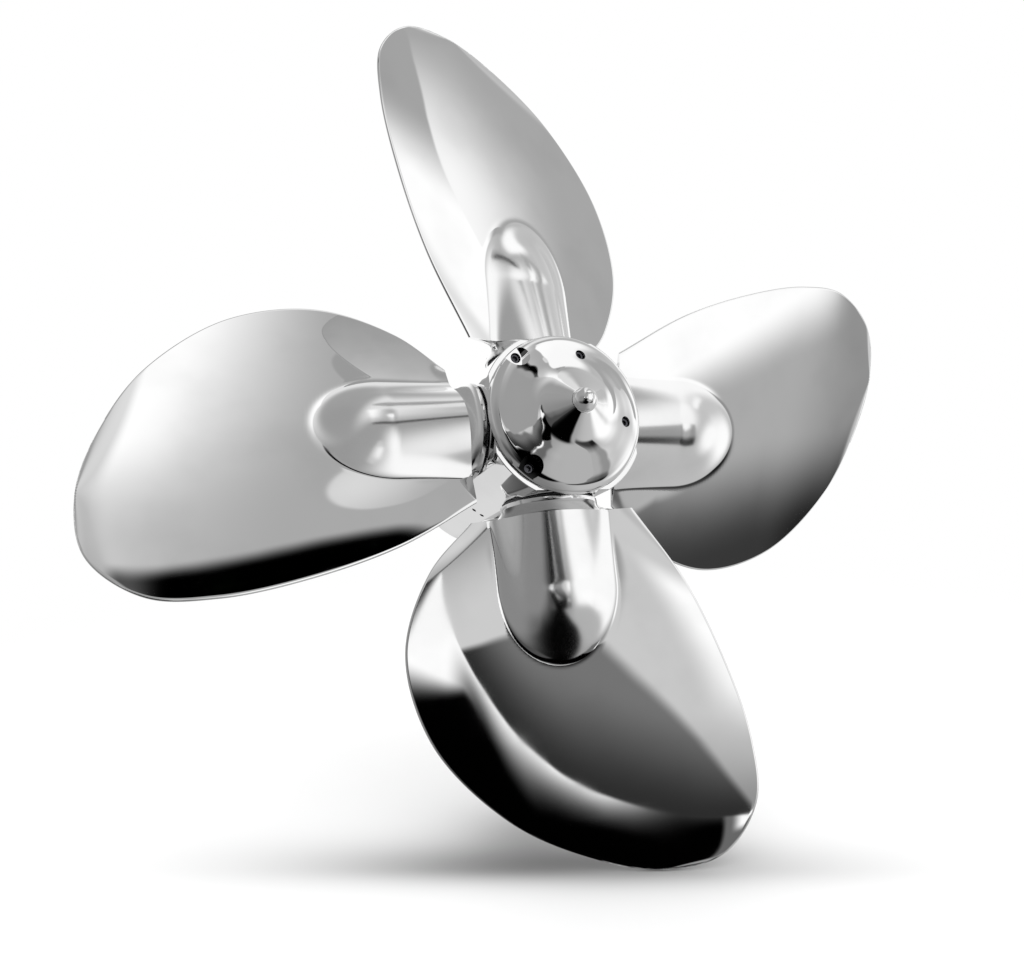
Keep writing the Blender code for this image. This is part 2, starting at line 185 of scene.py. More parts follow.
class Nodes:
    """Adds nodes to one node tree."""

    def __init__(self, tree: bpy.types.NodeTree) -> None:
        """Work on this tree."""
        self.tree = tree

    def feed(self, socket: bpy.types.NodeSocket, source: object) -> None:
        """Feed an input socket.

        Args:
            socket: the input socket.
            source: a value to link to it, or a constant to set it to.
        """
        if isinstance(source, Value):
            self.tree.links.new(source.socket, socket)
        else:
            socket.default_value = source

    def place(
        self,
        kind: str,
        settings: dict[str, object] | None = None,
        inputs: dict[str | int, object] | None = None,
    ) -> bpy.types.Node:
        """Place a node of any type in the tree.

        Args:
            kind: the node's type name.
            settings: the node's own settings, which are made first.
            inputs: a value or a constant for each socket, by its name or number.

        Returns:
            The node.
        """
        node = self.tree.nodes.new(kind)
        for name, setting in (settings or {}).items():
            setattr(node, name, setting)
        for key, source in (inputs or {}).items():
            self.feed(node.inputs[key], source)
        return node

    def add(
        self,
        kind: str,
        settings: dict[str, object] | None = None,
        inputs: dict[str | int, object] | None = None,
        output: str | int = 0,
    ) -> Value:
        """Place a node of any type, and return one of its outputs.

        Args:
            kind: the node's type name.
            settings: the node's own settings, which are made first.
            inputs: a value or a constant for each socket, by its name or number.
            output: the socket to return, by its name or number.

        Returns:
            The chosen output, ready for arithmetic.
        """
        return Value(self, self.place(kind, settings, inputs).outputs[output])

    def along(self, direction: Value, axis: Vector) -> Value:
        """Return how far a direction points along a fixed axis."""
        settings = {"operation": "DOT_PRODUCT"}
        return self.add("ShaderNodeVectorMath", settings, {0: direction, 1: tuple(axis)}, "Value")

    def tint(self, share: Value, near: Point3, far: Point3) -> Value:
        """Return the blend of two colours by a share of the second, which may pass 1."""
        settings = {"data_type": "RGBA", "clamp_factor": False}
        return self.add("ShaderNodeMix", settings, {0: share, 6: (*near, 1.0), 7: (*far, 1.0)}, 2)

    def cloud(self, place: Value, scale: float, detail: float, roughness: float = 0.5) -> Value:
        """Return a soft noise from 0 to 1, with this scale to a metre."""
        inputs = {"Vector": place, "Scale": scale, "Detail": detail, "Roughness": roughness}
        return self.add("ShaderNodeTexNoise", {}, inputs)

    def bump(self, depth: float, height: Value) -> Value:
        """Return the normal of a surface whose height is a share of a depth in metres."""
        return self.add("ShaderNodeBump", {}, {"Distance": depth, "Strength": 1.0, "Height": height})


# Finishes


def new_material(name: str, wire: Callable[[Nodes, Value], dict[str, Value | float]]) -> bpy.types.Material:
    """Make a material that follows an object's own coordinates.

    Args:
        name: the material's name.
        wire: takes the nodes and the place on the object, and gives what feeds each input of
            the shader, by the input's name.

    Returns:
        The material.
    """
    made = bpy.data.materials.new(name)
    made.use_nodes = True
    nodes = Nodes(made.node_tree)
    place = nodes.add("ShaderNodeTexCoord", output="Object")
    shader = made.node_tree.nodes["Principled BSDF"]
    for socket, source in wire(nodes, place).items():
        nodes.feed(shader.inputs[socket], source)
    return made


@dataclass(frozen=True)
class Finish(ABC):
    """A finish of the propeller's pieces.

    Attributes:
        name: the material's name.
        slot: the record's material slot; not used.
        colour: its colour, which is the reflected one on a metal.
    """

    name: str
    slot: str
    colour: Point3

    def make(self) -> bpy.types.Material:
        """Return the material, made once."""
        return bpy.data.materials.get(self.name) or new_material(self.name, self._inputs)

    @abstractmethod
    def _inputs(self, nodes: Nodes, place: Value) -> dict[str, Value | float]:
        """Return what feeds each input of the shader, by the input's name."""


@dataclass(frozen=True)
class Metal(Finish):
    """A metal finish, with the faint unevenness that its making leaves.

    Attributes:
        smooth: the roughness where it is best polished.
        rough: the roughness where it is least polished.
        patch: the patches of wear to a metre.
        ripple: the height of the surface's waves, in metres.
        waves: the waves to a metre.
        dulling: how much of its colour the metal keeps where it is least polished.
        worn: the heights of the wear's noise where the wear starts and where it is full.
    """

    smooth: float
    rough: float
    patch: float = 18.0
    ripple: float = 0.0
    waves: float = 30.0
    dulling: float = 0.94
    worn: Point = (0.42, 0.72)

    def _inputs(self, nodes: Nodes, place: Value) -> dict[str, Value | float]:
        """Wire the metal.

        Args:
            nodes: the material's nodes.
            place: the place on the piece.

        Returns:
            What feeds each input of the shader, by the input's name.
        """
        wear = nodes.cloud(place, self.patch, detail=3.0).rise(*self.worn)
        dull = tuple(self.dulling * part for part in self.colour)
        return {
            "Metallic": 1.0,
            "Roughness": self._roughness(wear),
            "Base Color": nodes.tint(self._shade(wear), self.colour, dull),
            "Normal": self._relief(nodes, place),
        }

    def _roughness(self, wear: Value) -> Value:
        """Return the roughness, from the best polished parts to the least."""
        return self.smooth + (self.rough - self.smooth) * wear

    def _shade(self, wear: Value) -> Value:
        """Return the share from the full colour to the dull one."""
        return wear

    def _relief(self, nodes: Nodes, place: Value) -> Value:
        """Return the normal that the surface's slow waves give."""
        return nodes.bump(self.ripple, nodes.cloud(place, self.waves, detail=1.0, roughness=0.4))


@dataclass(frozen=True)
class TurnedMetal(Metal):
    """A metal face that still shows the fine rings of the lathe, round the shaft axis.

    Attributes:
        rings: the tool marks to a metre of radius.
        ring_depth: their depth, in metres.
    """

    rings: float = 1400.0
    ring_depth: float = 0.000004

    def _relief(self, nodes: Nodes, place: Value) -> Value:
        """Return the normal that the lathe's rings give."""
        across = nodes.add("ShaderNodeSeparateXYZ", {}, {0: place}, "X")
        height = across.other("Z")
        radius = (across * across + height * height).root()
        return nodes.bump(self.ring_depth, (radius * (self.rings * math.tau)).sine())


@dataclass(frozen=True)
class MarkedMetal(Metal):
    """A metal with a part that is finished in another way, as the piece's marks say; a marked part that is
    darkened carries painted shade.

    Attributes:
        marked_rough: the roughness on the marked part.
        marked_shade: how much of its colour the marked part keeps; below 1 this is painted shade.
    """

    marked_rough: float = 0.13
    marked_shade: float = 1.0

    def _roughness(self, wear: Value) -> Value:
        """Return the roughness, from the plain part's to the marked part's."""
        return super()._roughness(wear).towards(self.marked_rough, self._marks(wear.nodes))

    def _shade(self, wear: Value) -> Value:
        """Return the share from the full colour to the dull one; past 1 on the marked part, which paints
        shade on it.
        """
        past = (1.0 - self.marked_shade) / (1.0 - self.dulling)
        return wear + past * self._marks(wear.nodes)

    @staticmethod
    def _marks(nodes: Nodes) -> Value:
        """Return the piece's marks, from 0 to 1."""
        return nodes.add("ShaderNodeAttribute", {"attribute_name": MARKS}, {}, "Fac")


@dataclass(frozen=True)
class Rubber(Finish):
    """The rubber of the seals, with a faint pale bloom and a fine grain.

    Attributes:
        bloom: the patches of bloom to a metre.
        bloom_shade: how many times the rubber's colour the bloom's is.
        smooth: the roughness where there is no bloom.
        rough: the roughness where the bloom is thickest.
        grain: the grains to a metre.
        grain_depth: their depth, in metres.
    """

    bloom: float = 60.0
    bloom_shade: float = 2.2
    smooth: float = 0.45
    rough: float = 0.70
    grain: float = 900.0
    grain_depth: float = 0.00005

    def _inputs(self, nodes: Nodes, place: Value) -> dict[str, Value | float]:
        """Wire the rubber.

        Args:
            nodes: the material's nodes.
            place: the place on the piece.

        Returns:
            What feeds each input of the shader, by the input's name.
        """
        bloom = nodes.cloud(place, self.bloom, detail=4.0)
        pale = tuple(self.bloom_shade * part for part in self.colour)
        return {
            "Roughness": self.smooth + (self.rough - self.smooth) * bloom,
            "Base Color": nodes.tint(bloom, self.colour, pale),
            "Normal": nodes.bump(self.grain_depth, nodes.cloud(place, self.grain, detail=2.0)),
        }


POLISH_COLOUR = (0.93, 0.93, 0.93)
POLISH_RIPPLE = 0.00002
MIRROR = Metal("mirror_polish", "polished_metal", POLISH_COLOUR, 0.015, 0.045, ripple=POLISH_RIPPLE)
BLADE_POLISH = MarkedMetal(
    "blade_polish", "polished_metal", POLISH_COLOUR, smooth=0.015, rough=0.045, ripple=POLISH_RIPPLE
)
# The dome's marked part, the floor of the astern pitch pocket, is painted almost black: painted shade in the
# recess.
CAP_POLISH = MarkedMetal(
    "cap_polish",
    "polished_metal",
    POLISH_COLOUR,
    smooth=0.02,
    rough=0.05,
    ripple=POLISH_RIPPLE,
    marked_rough=0.4,
    marked_shade=0.03,
)
TURNED = TurnedMetal("turned_face", "turned_metal", (0.70, 0.70, 0.71), smooth=0.16, rough=0.26)
SCREW = Metal("screw_steel", "screw_metal", (0.10, 0.10, 0.11), 0.30, 0.45, patch=240.0, ripple=0.00001)
BRONZE = TurnedMetal("boss_bronze", "bronze", (0.66, 0.47, 0.26), smooth=0.20, rough=0.34)
SEAL = Rubber("seal_rubber", "rubber", (0.025, 0.025, 0.027))


# Meshes


def link_object(name: str, data: bpy.types.ID) -> bpy.types.Object:
    """Make an object and link it to the scene.

    Args:
        name: the object's name.
        data: its mesh or camera.

    Returns:
        The object.
    """
    item = bpy.data.objects.new(name, data)
    bpy.context.scene.collection.objects.link(item)
    return item


def remove_object(item: bpy.types.Object) -> None:
    """Remove an object and its mesh."""
    mesh = item.data
    bpy.data.objects.remove(item, do_unlink=True)
    bpy.data.meshes.remove(mesh)


def plain_copy(item: bpy.types.Object) -> bpy.types.Mesh:
    """Return a plain mesh of an object with its modifiers applied."""
    bpy.context.view_layer.update()
    evaluated = item.evaluated_get(bpy.context.evaluated_depsgraph_get())
    return bpy.data.meshes.new_from_object(evaluated)


def close_up(shape: bmesh.types.BMesh, distance: float = MERGE_DISTANCE) -> None:
    """Merge a shape's doubled points, and turn its faces outwards."""
    bmesh.ops.remove_doubles(shape, verts=shape.verts, dist=distance)
    bmesh.ops.recalc_face_normals(shape, faces=shape.faces)


def to_mesh(shape: bmesh.types.BMesh, name: str) -> bpy.types.Mesh:
    """Turn a bmesh into a smooth-shaded mesh with its faces pointing out.

    Args:
        shape: the bmesh, which is freed.
        name: the mesh's name.

    Returns:
        The mesh.
    """
    close_up(shape)
    mesh = bpy.data.meshes.new(name)
    shape.to_mesh(mesh)
    shape.free()
    shade(mesh)
    return mesh


def shade(mesh: bpy.types.Mesh, angle: float = 32.0) -> None:
    """Shade a mesh smooth, with its crisp edges kept."""
    mesh.shade_smooth()
    mesh.set_sharp_from_angle(angle=math.radians(angle))


def curve_point(guides: Sequence[Vector], knots: Sequence[float], place: float) -> Vector:
    """Blend four guide points into one point of the curve.

    Args:
        guides: the four guide points.
        knots: the place of each of them along the curve.
        place: the place of the wanted point, between the second and the third.

    Returns:
        The point.
    """
    level = list(guides)
    for spans in (((0, 1), (1, 2), (2, 3)), ((0, 2), (1, 3)), ((1, 2),)):
        blended = []
        for index, (low, high) in enumerate(spans):
            share = (place - knots[low]) / (knots[high] - knots[low])
            blended.append(level[index].lerp(level[index + 1], share))
        level = blended
    return level[0]


def smooth_curve(points: Sequence[Point], steps: int) -> list[Vector]:
    """Read a curve through the points.

    Args:
        points: the points that the curve goes through.
        steps: the steps from one point to the next.

    Returns:
        The points on the curve.
    """
    first = 2 * Vector(points[0]) - Vector(points[1])
    last = 2 * Vector(points[-1]) - Vector(points[-2])
    guides = [first, *(Vector(point) for point in points), last]
    curve = []
    for span in zip(guides, guides[1:], guides[2:], guides[3:]):
        knots = [0.0]
        for start, end in zip(span, span[1:]):
            knots.append(knots[-1] + math.sqrt((end - start).length))
        for step in range(steps):
            curve.append(curve_point(span, knots, knots[1] + (knots[2] - knots[1]) * step / steps))
    curve.append(Vector(points[-1]))
    return curve


def rounded(profile: Profile, radius: float, steps: int = 4, closed: bool = True) -> Profile:
    """Round the corners of a profile, as an edge that has been broken and polished.

    Args:
        profile: the (radius, height) points.
        radius: the size of the round, smaller where an edge is short.
        steps: the steps of each round.
        closed: whether the last point joins the first; if not, the two ends are kept.

    Returns:
        The new points.
    """
    points = [Vector(point) for point in profile]
    count = len(points)
    softened: Profile = []
    for index, corner in enumerate(points):
        if not closed and index in (0, count - 1):
            softened.append(tuple(corner))
            continue
        before = points[index - 1]
        after = points[(index + 1) % count]
        # Two rounds on one edge leave a tenth of it straight.
        reach = min(radius, 0.45 * (before - corner).length, 0.45 * (after - corner).length)
        start = corner + (before - corner).normalized() * reach
        end = corner + (after - corner).normalized() * reach
        for step in range(steps + 1):
            share = step / steps
            softened.append(tuple(start.lerp(corner, share).lerp(corner.lerp(end, share), share)))
    return softened


def band(inner: float, outer: float, low: float, high: float) -> Profile:
    """Return the rectangular profile of a ring, between two radii and two heights."""
    return [(inner, low), (outer, low), (outer, high), (inner, high)]


def stitch(
    shape: bmesh.types.BMesh,
    low: Sequence[bmesh.types.BMVert],
    high: Sequence[bmesh.types.BMVert],
) -> None:
    """Join two rings with faces; a ring that is one point over and over gives triangles.

    Args:
        shape: the shape that the rings are in.
        low: the points of the first ring.
        high: as many points of the second ring.
    """
    for index in range(len(low)):
        following = (index + 1) % len(low)
        face = list(dict.fromkeys((low[index], low[following], high[following], high[index])))
        if len(face) > 2:
            shape.faces.new(face)


def turned(profile: Profile, segments: int = 192) -> bmesh.types.BMesh:
    """Turn (radius, height) points about the local Z axis.

    Args:
        profile: the points; a profile that doesn't start and end on the axis is joined up.
        segments: the steps round the axis.

    Returns:
        The closed shape.
    """
    shape = bmesh.new()
    on_axis = profile[0][0] == 0.0 and profile[-1][0] == 0.0
    angles = [math.tau * index / segments for index in range(segments)]
    rings = []
    for radius, height in profile:
        if radius == 0.0:
            rings.append([shape.verts.new((0.0, 0.0, height))] * segments)
            continue
        points = [(radius * math.cos(angle), radius * math.sin(angle), height) for angle in angles]
        rings.append([shape.verts.new(point) for point in points])
    pairs = list(zip(rings, rings[1:]))
    if not on_axis:
        pairs.append((rings[-1], rings[0]))
    for low, high in pairs:
        stitch(shape, low, high)
    return shape


def loft(sections: Sequence[Sequence[Point3]]) -> bmesh.types.BMesh:
    """Join closed sections into a shape with two closed ends.

    Args:
        sections: the points of each section, as many on each.

    Returns:
        The closed shape.
    """
    shape = bmesh.new()
    rings = [[shape.verts.new(point) for point in section] for section in sections]
    for low, high in zip(rings, rings[1:]):
        stitch(shape, low, high)
    shape.faces.new(reversed(rings[0]))
    shape.faces.new(rings[-1])
    return shape


def carve(mesh: bpy.types.Mesh, tools: Iterable[bpy.types.Mesh]) -> bpy.types.Mesh:
    """Cut tools out of a mesh.

    Args:
        mesh: the mesh to cut.
        tools: the meshes to cut out of it, in the same frame.

    Returns:
        The cut mesh, shaded smooth.
    """
    target = link_object("carved", mesh)
    cutters = []
    for tool in tools:
        cutter = link_object(tool.name, tool)
        step = target.modifiers.new(tool.name, "BOOLEAN")
        step.operation = "DIFFERENCE"
        step.object = cutter
        cutters.append(cutter)
    result = plain_copy(target)
    for item in (target, *cutters):
        remove_object(item)
    shade(result)
    return result


def vertex_places(mesh: bpy.types.Mesh) -> np.ndarray:
    """Read the places of a mesh's vertices.

    Args:
        mesh: the mesh.

    Returns:
        The places, one to a row.
    """
    places = np.empty(3 * len(mesh.vertices))
    mesh.vertices.foreach_get("co", places)
    return places.reshape(-1, 3)


def mark(mesh: bpy.types.Mesh, shares: np.ndarray) -> None:
    """Write a mark from 0 to 1 on each vertex of a mesh."""
    mesh.attributes.new(MARKS, "FLOAT", "POINT").data.foreach_set("value", shares.astype(np.float32))


def settle(
    name: str,
    mesh: bpy.types.Mesh,
    place: Matrix,
    finish: Finish,
    body: str,
    stands_for: Sequence[str],
) -> bpy.types.Object:
    """Make a finished piece, with its place in its mesh, and fix it to its body.

    Args:
        name: the piece's name.
        mesh: its mesh, in its own frame.
        place: where that frame is.
        finish: what it is finished in.
        body: the body that it moves with.
        stands_for: the nodes that it replaces.

    Returns:
        The piece.
    """
    mesh.name = name
    mesh.transform(place)
    mesh.materials.clear()
    mesh.materials.append(finish.make())
    piece = link_object(name, mesh)
    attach(piece, body)
    if stands_for:
        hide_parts(*stands_for)
    LOG.info("%s: %d faces, on %s", name, len(mesh.polygons), body)
    return piece


def on_clock(radius: float, degrees: float, height: float) -> Vector:
    """Return a place in the shaft's frame; the clock angle starts at the top and runs to +X."""
    angle = math.radians(degrees)
    return Vector((radius * math.sin(angle), radius * math.cos(angle), height))


# Screws


@dataclass(frozen=True)
class ScrewKind:
    """A screw with a hexagon socket.

    Attributes:
        shank: the shank's radius.
        length: the shank's length.
        head: the head's radius; a headless screw has the shank's.
        height: the head's height.
        socket: the socket's corner radius, and its depth.
        mouth: how far its hole is cut past the head's underside.
        gap: the hole's clearance.
        point_chamfer: the chamfer of the shank's point, to the shank's radius.
        head_chamfer: the chamfer of the head, to the head's radius.
        socket_chamfer: how much wider the socket is at its mouth, to its corner radius.
        mouth_depth: the depth of that mouth, to the head's radius.
        sides: the sides of the round parts.
    """

    shank: float
    length: float
    head: float
    height: float
    socket: float
    mouth: float
    gap: float = 0.0004
    point_chamfer: float = 0.10
    head_chamfer: float = 0.12
    socket_chamfer: float = 0.10
    mouth_depth: float = 0.06
    sides: int = 36

    def mesh(self, name: str) -> bpy.types.Mesh:
        """Make one screw along Z, with its head's underside at the origin.

        Args:
            name: the mesh's name.

        Returns:
            The mesh.
        """
        angles = [math.tau * index / self.sides for index in range(self.sides)]
        point = self.point_chamfer * self.shank
        edge = self.head_chamfer * self.head
        steps = [(self.shank - point, -self.length), (self.shank, -self.length + point)]
        if self.head > self.shank:
            steps += [(self.shank, 0.0), (self.head, 0.0)]
        steps += [(self.head, self.height - edge), (self.head - edge, self.height)]
        sections = [[(r * math.cos(a), r * math.sin(a), h) for a in angles] for r, h in steps]
        sockets = (
            ((1.0 + self.socket_chamfer) * self.socket, self.height),
            (self.socket, self.height - self.mouth_depth * self.head),
            (self.socket, self.height - self.socket),
        )
        sections += [self._hexagon(angles, size, height) for size, height in sockets]
        return to_mesh(loft(sections), name)

    @staticmethod
    def _hexagon(angles: Sequence[float], size: float, height: float) -> list[Point3]:
        """Draw a hexagon with a point at each of the angles.

        Args:
            angles: the angles of its points, in radians.
            size: its corner radius.
            height: its height.

        Returns:
            The points.
        """
        half_side = math.pi / 6
        points = []
        for angle in angles:
            off_corner = (angle + half_side) % (2 * half_side) - half_side
            reach = size * math.cos(half_side) / math.cos(half_side - abs(off_corner))
            points.append((reach * math.cos(angle), reach * math.sin(angle), height))
        return points

    def hole(self, name: str) -> bpy.types.Mesh:
        """Make the tool that cuts the screw's hole.

        Args:
            name: the tool's name.

        Returns:
            The tool, in the screw's own frame.
        """
        shank = self.shank + self.gap
        head = max(self.head, self.shank) + self.gap
        foot = -self.length - self.gap
        profile = [(0.0, foot), (shank, foot), (shank, -self.gap), (head, -self.gap)]
        profile += [(head, self.mouth), (0.0, self.mouth)]
        return to_mesh(turned(profile, segments=48), name)


@dataclass(frozen=True)
class ScrewRing:
    """Screws that stand round the shaft axis at even steps.

    Attributes:
        name: the piece's name.
        kind: the screws' sizes.
        place: where the first one is, in the shaft's frame, as if its clock angle were 0.
        first: its clock angle, in degrees.
        step: the degrees from each screw to the next.
        nodes: the nodes of the screws.
    """

    name: str
    kind: ScrewKind
    place: Matrix
    first: float
    step: float
    nodes: tuple[str, ...]

    def angles(self) -> list[float]:
        """Return the screws' clock angles, in degrees."""
        return [self.first + self.step * index for index in range(len(self.nodes))]

    @staticmethod
    def turn(angle: float) -> Matrix:
        """Return the turn about the shaft axis to a clock angle in degrees."""
        return Matrix.Rotation(-math.radians(angle), 4, "Z")

    def holes(self) -> list[bpy.types.Mesh]:
        """Make the tools that cut the screws' holes.

        Returns:
            The tools, in the shaft's frame.
        """
        tools = []
        for index, angle in enumerate(self.angles()):
            tool = self.kind.hole(f"{self.name}_hole_{index + 1}")
            tool.transform(self.turn(angle) @ self.place)
            tools.append(tool)
        return tools

    def dress(self) -> bpy.types.Object:
        """Make the screws as one mesh, and fix it to the hub.

        Returns:
            The piece.
        """
        single = self.kind.mesh(f"{self.name}_single")
        single.transform(self.place)
        item = link_object(self.name, single)
        spread = item.modifiers.new("spread", "NODES")
        spread.node_group = self._tree()
        entries = spread.node_group.interface.items_tree
        sockets = {entry.name: entry.identifier for entry in entries if entry.in_out == "INPUT"}
        spread[sockets["Count"]] = len(self.nodes)
        spread[sockets["First angle"]] = math.radians(self.first)
        spread[sockets["Angle step"]] = math.radians(self.step)
        mesh = plain_copy(item)
        item.modifiers.remove(spread)
        remove_object(item)
        shade(mesh)
        return settle(self.name, mesh, SHAFT_PLACE, SCREW, "hub", self.nodes)

    @staticmethod
    def _tree() -> bpy.types.NodeTree:
        """Return the tree that repeats a screw round the shaft axis, made once.

        Returns:
            The tree, with the number of screws and their angles, in radians, as its inputs.
        """
        found = bpy.data.node_groups.get("screws_round_shaft")
        if found:
            return found
        tree = bpy.data.node_groups.new("screws_round_shaft", "GeometryNodeTree")
        sockets = (("Screw", "Geometry"), ("Count", "Int"), ("First angle", "Float"), ("Angle step", "Float"))
        for name, kind in sockets:
            tree.interface.new_socket(name, in_out="INPUT", socket_type=f"NodeSocket{kind}")
        tree.interface.new_socket("Screws", in_out="OUTPUT", socket_type="NodeSocketGeometry")
        nodes = Nodes(tree)
        screw = nodes.add("NodeGroupInput", output="Screw")
        line = {"Count": screw.other("Count"), "Offset": (0.0, 0.0, 0.0)}
        points = nodes.add("GeometryNodeMeshLine", {}, line)
        index = nodes.add("GeometryNodeInputIndex")
        angle = -1.0 * (screw.other("First angle") + screw.other("Angle step") * index)
        turn = nodes.add("ShaderNodeCombineXYZ", {}, {"Z": angle})
        inputs = {"Points": points, "Instance": screw, "Rotation": turn}
        copies = nodes.add("GeometryNodeInstanceOnPoints", {}, inputs)
        solid = nodes.add("GeometryNodeRealizeInstances", {}, {"Geometry": copies})
        dressed = nodes.add("GeometryNodeSetMaterial", {}, {"Geometry": solid, "Material": SCREW.make()})
        nodes.place("NodeGroupOutput", {}, {"Screws": dressed})
        return tree


# Hub


@dataclass(frozen=True)
class Fasteners:
    """Every screw that shows on the hub.

    Attributes:
        cover_kind: the screws in the fore cover.
        cover_circle: the radius of the circle on which they stand.
        cap_kind: the two screws in the dome.
        cap_circle: the radius of the circle on which they stand.
        cap_seat: from the hub centre to the underside of their heads.
        pitch_kind: the two pitch stop screws, in pockets at the dome's edge.
        pitch_circle: the radius of the circle on which they stand.
        pitch_top: from the hub centre to their tops.
        grub_kind: the two small screws in the hub's side.
        grub_reach: from the shaft axis to their tops.
        grub_along: their place along the shaft axis, from the hub centre.
    """

    cover_kind: ScrewKind = ScrewKind(
        shank=0.0020, length=0.0080, head=0.0034, height=0.0034, socket=0.0018, mouth=0.0060
    )
    cover_circle: float = 0.0475
    cap_kind: ScrewKind = ScrewKind(
        shank=0.0020, length=0.0120, head=0.0033, height=0.0034, socket=0.0018, mouth=0.0200
    )
    cap_circle: float = 0.0400
    cap_seat: float = 0.0480
    pitch_kind: ScrewKind = ScrewKind(
        shank=0.0032, length=0.0140, head=0.0032, height=0.0, socket=0.0020, mouth=0.0100
    )
    pitch_circle: float = 0.0500
    pitch_top: float = 0.0440
    grub_kind: ScrewKind = ScrewKind(
        shank=0.0013, length=0.0060, head=0.0013, height=0.0, socket=0.0008, mouth=0.0060
    )
    grub_reach: float = 0.0585
    grub_along: float = -0.0480

    @property
    def cover(self) -> ScrewRing:
        """Return the ring of screws in the fore cover."""
        seat = -HUB_FORE_LENGTH + self.cover_kind.height + self.cover_kind.gap
        place = Matrix.Translation((0.0, self.cover_circle, seat)) @ FACING_FORE
        nodes = tuple(f"cover_screw_{number}" for number in range(1, 7))
        return ScrewRing("cover_screws", self.cover_kind, place, first=0.0, step=60.0, nodes=nodes)

    @property
    def cap(self) -> ScrewRing:
        """Return the two screws in the dome."""
        place = Matrix.Translation((0.0, self.cap_circle, self.cap_seat))
        nodes = ("cap_screw_1", "cap_screw_2")
        return ScrewRing("cap_screws", self.cap_kind, place, first=16.0, step=86.0, nodes=nodes)

    @property
    def pitch(self) -> ScrewRing:
        """Return the two pitch stop screws, the ahead stop first."""
        place = Matrix.Translation((0.0, self.pitch_circle, self.pitch_top))
        nodes = ("pitch_screw_ahead", "pitch_screw_astern")
        return ScrewRing("pitch_screws", self.pitch_kind, place, first=-41.5, step=-98.5, nodes=nodes)

    @property
    def grub(self) -> ScrewRing:
        """Return the two small screws in the hub's side."""
        place = Matrix.Translation((0.0, self.grub_reach, self.grub_along)) @ FACING_OUT
        nodes = ("grub_screw_1", "grub_screw_2")
        return ScrewRing("grub_screws", self.grub_kind, place, first=-140.6, step=-6.8, nodes=nodes)

    @property
    def rings(self) -> tuple[ScrewRing, ...]:
        """Return all the screws."""
        return (self.cover, self.cap, self.pitch, self.grub)

    def dress(self) -> None:
        """Make every screw."""
        for ring in self.rings:
            ring.dress()


@dataclass(frozen=True)
class HubBody:
    """The round housing, with a spot-faced seat for each blade.

    Attributes:
        radius: the housing's radius.
        aft_length: from the hub centre to its aft face.
        chamfer: the chamfer round its fore end.
        seat_height: from the shaft axis to a seat.
        seat_radius: a seat's radius.
        socket_radius: the radius of the spindle's socket.
        socket_foot: from the shaft axis to the socket's floor.
        groove_radius: the seal groove's radius.
        groove_depth: its depth.
        cavity_radius: the radius of the cavity for the shaft boss.
        cavity_length: its length.
        recess_radius: the radius of the recess for the fore cover.
        recess_depth: its depth.
        edge_round: the round of its edges.
        seal_inner: a root seal's inner radius.
        seal_outer: its outer radius.
        seal_top: from the shaft axis to its top.
        seal_round: the round of its edges.
    """

    radius: float = 0.0590
    aft_length: float = 0.0417
    chamfer: float = 0.0035
    seat_height: float = 0.0520
    seat_radius: float = 0.0650
    socket_radius: float = 0.0205
    socket_foot: float = 0.0235
    groove_radius: float = 0.0323
    groove_depth: float = 0.0017
    cavity_radius: float = 0.0363
    cavity_length: float = 0.0953
    recess_radius: float = 0.0543
    recess_depth: float = 0.0063
    edge_round: float = 0.0006
    seal_inner: float = 0.0255
    seal_outer: float = 0.0320
    seal_top: float = 0.0527
    seal_round: float = 0.0008

    def dress(self, fasteners: Fasteners) -> None:
        """Make the housing, cut its seats and holes, and lay the seals in their grooves.

        Args:
            fasteners: the screws, whose holes are cut.
        """
        fore = -HUB_FORE_LENGTH
        profile = [
            (0.0, fore + self.cavity_length),
            (self.cavity_radius, fore + self.cavity_length),
            (self.cavity_radius, fore + self.recess_depth),
            (self.recess_radius, fore + self.recess_depth),
            (self.recess_radius, fore),
            (self.radius - self.chamfer, fore),
            (self.radius, fore + self.chamfer),
            (self.radius, self.aft_length),
            (0.0, self.aft_length),
        ]
        blank = to_mesh(turned(rounded(profile, self.edge_round, closed=False), segments=256), "hub_blank")
        tools = [self._seat(station) for station in Station]
        for ring in fasteners.rings:
            tools += ring.holes()
        settle("hub_housing", carve(blank, tools), SHAFT_PLACE, MIRROR, "hub", ("hub_body",))
        for station in Station:
            self._seal(station)

    def _seat(self, station: Station) -> bpy.types.Mesh:
        """Make the tool that cuts one blade's seat.

        Args:
            station: the blade's place.

        Returns:
            The tool, in the shaft's frame.
        """
        floor = self.seat_height - self.groove_depth
        profile = [
            (0.0, self.socket_foot),
            (self.socket_radius, self.socket_foot),
            (self.socket_radius, floor),
            (self.groove_radius, floor),
            (self.groove_radius, self.seat_height),
            (self.seat_radius, self.seat_height),
            (self.seat_radius, 2 * self.seat_height),
            (0.0, 2 * self.seat_height),
        ]
        tool = to_mesh(turned(profile, segments=144), f"seat_{station.name.lower()}")
        tool.transform(SHAFT_PLACE.inverted() @ station.place)
        return tool

    def _seal(self, station: Station) -> None:
        """Lay one blade's seal in its groove.

        Args:
            station: the blade's place.
        """
        name = station.name.lower()
        foot = self.seat_height - self.groove_depth + FIT_GAP
        profile = band(self.seal_inner, self.seal_outer, foot, self.seal_top)
        mesh = to_mesh(turned(rounded(profile, self.seal_round), segments=128), f"seal_{name}")
        settle(f"seal_{name}", mesh, station.place, SEAL, "hub", (f"root_seal_{name}",))


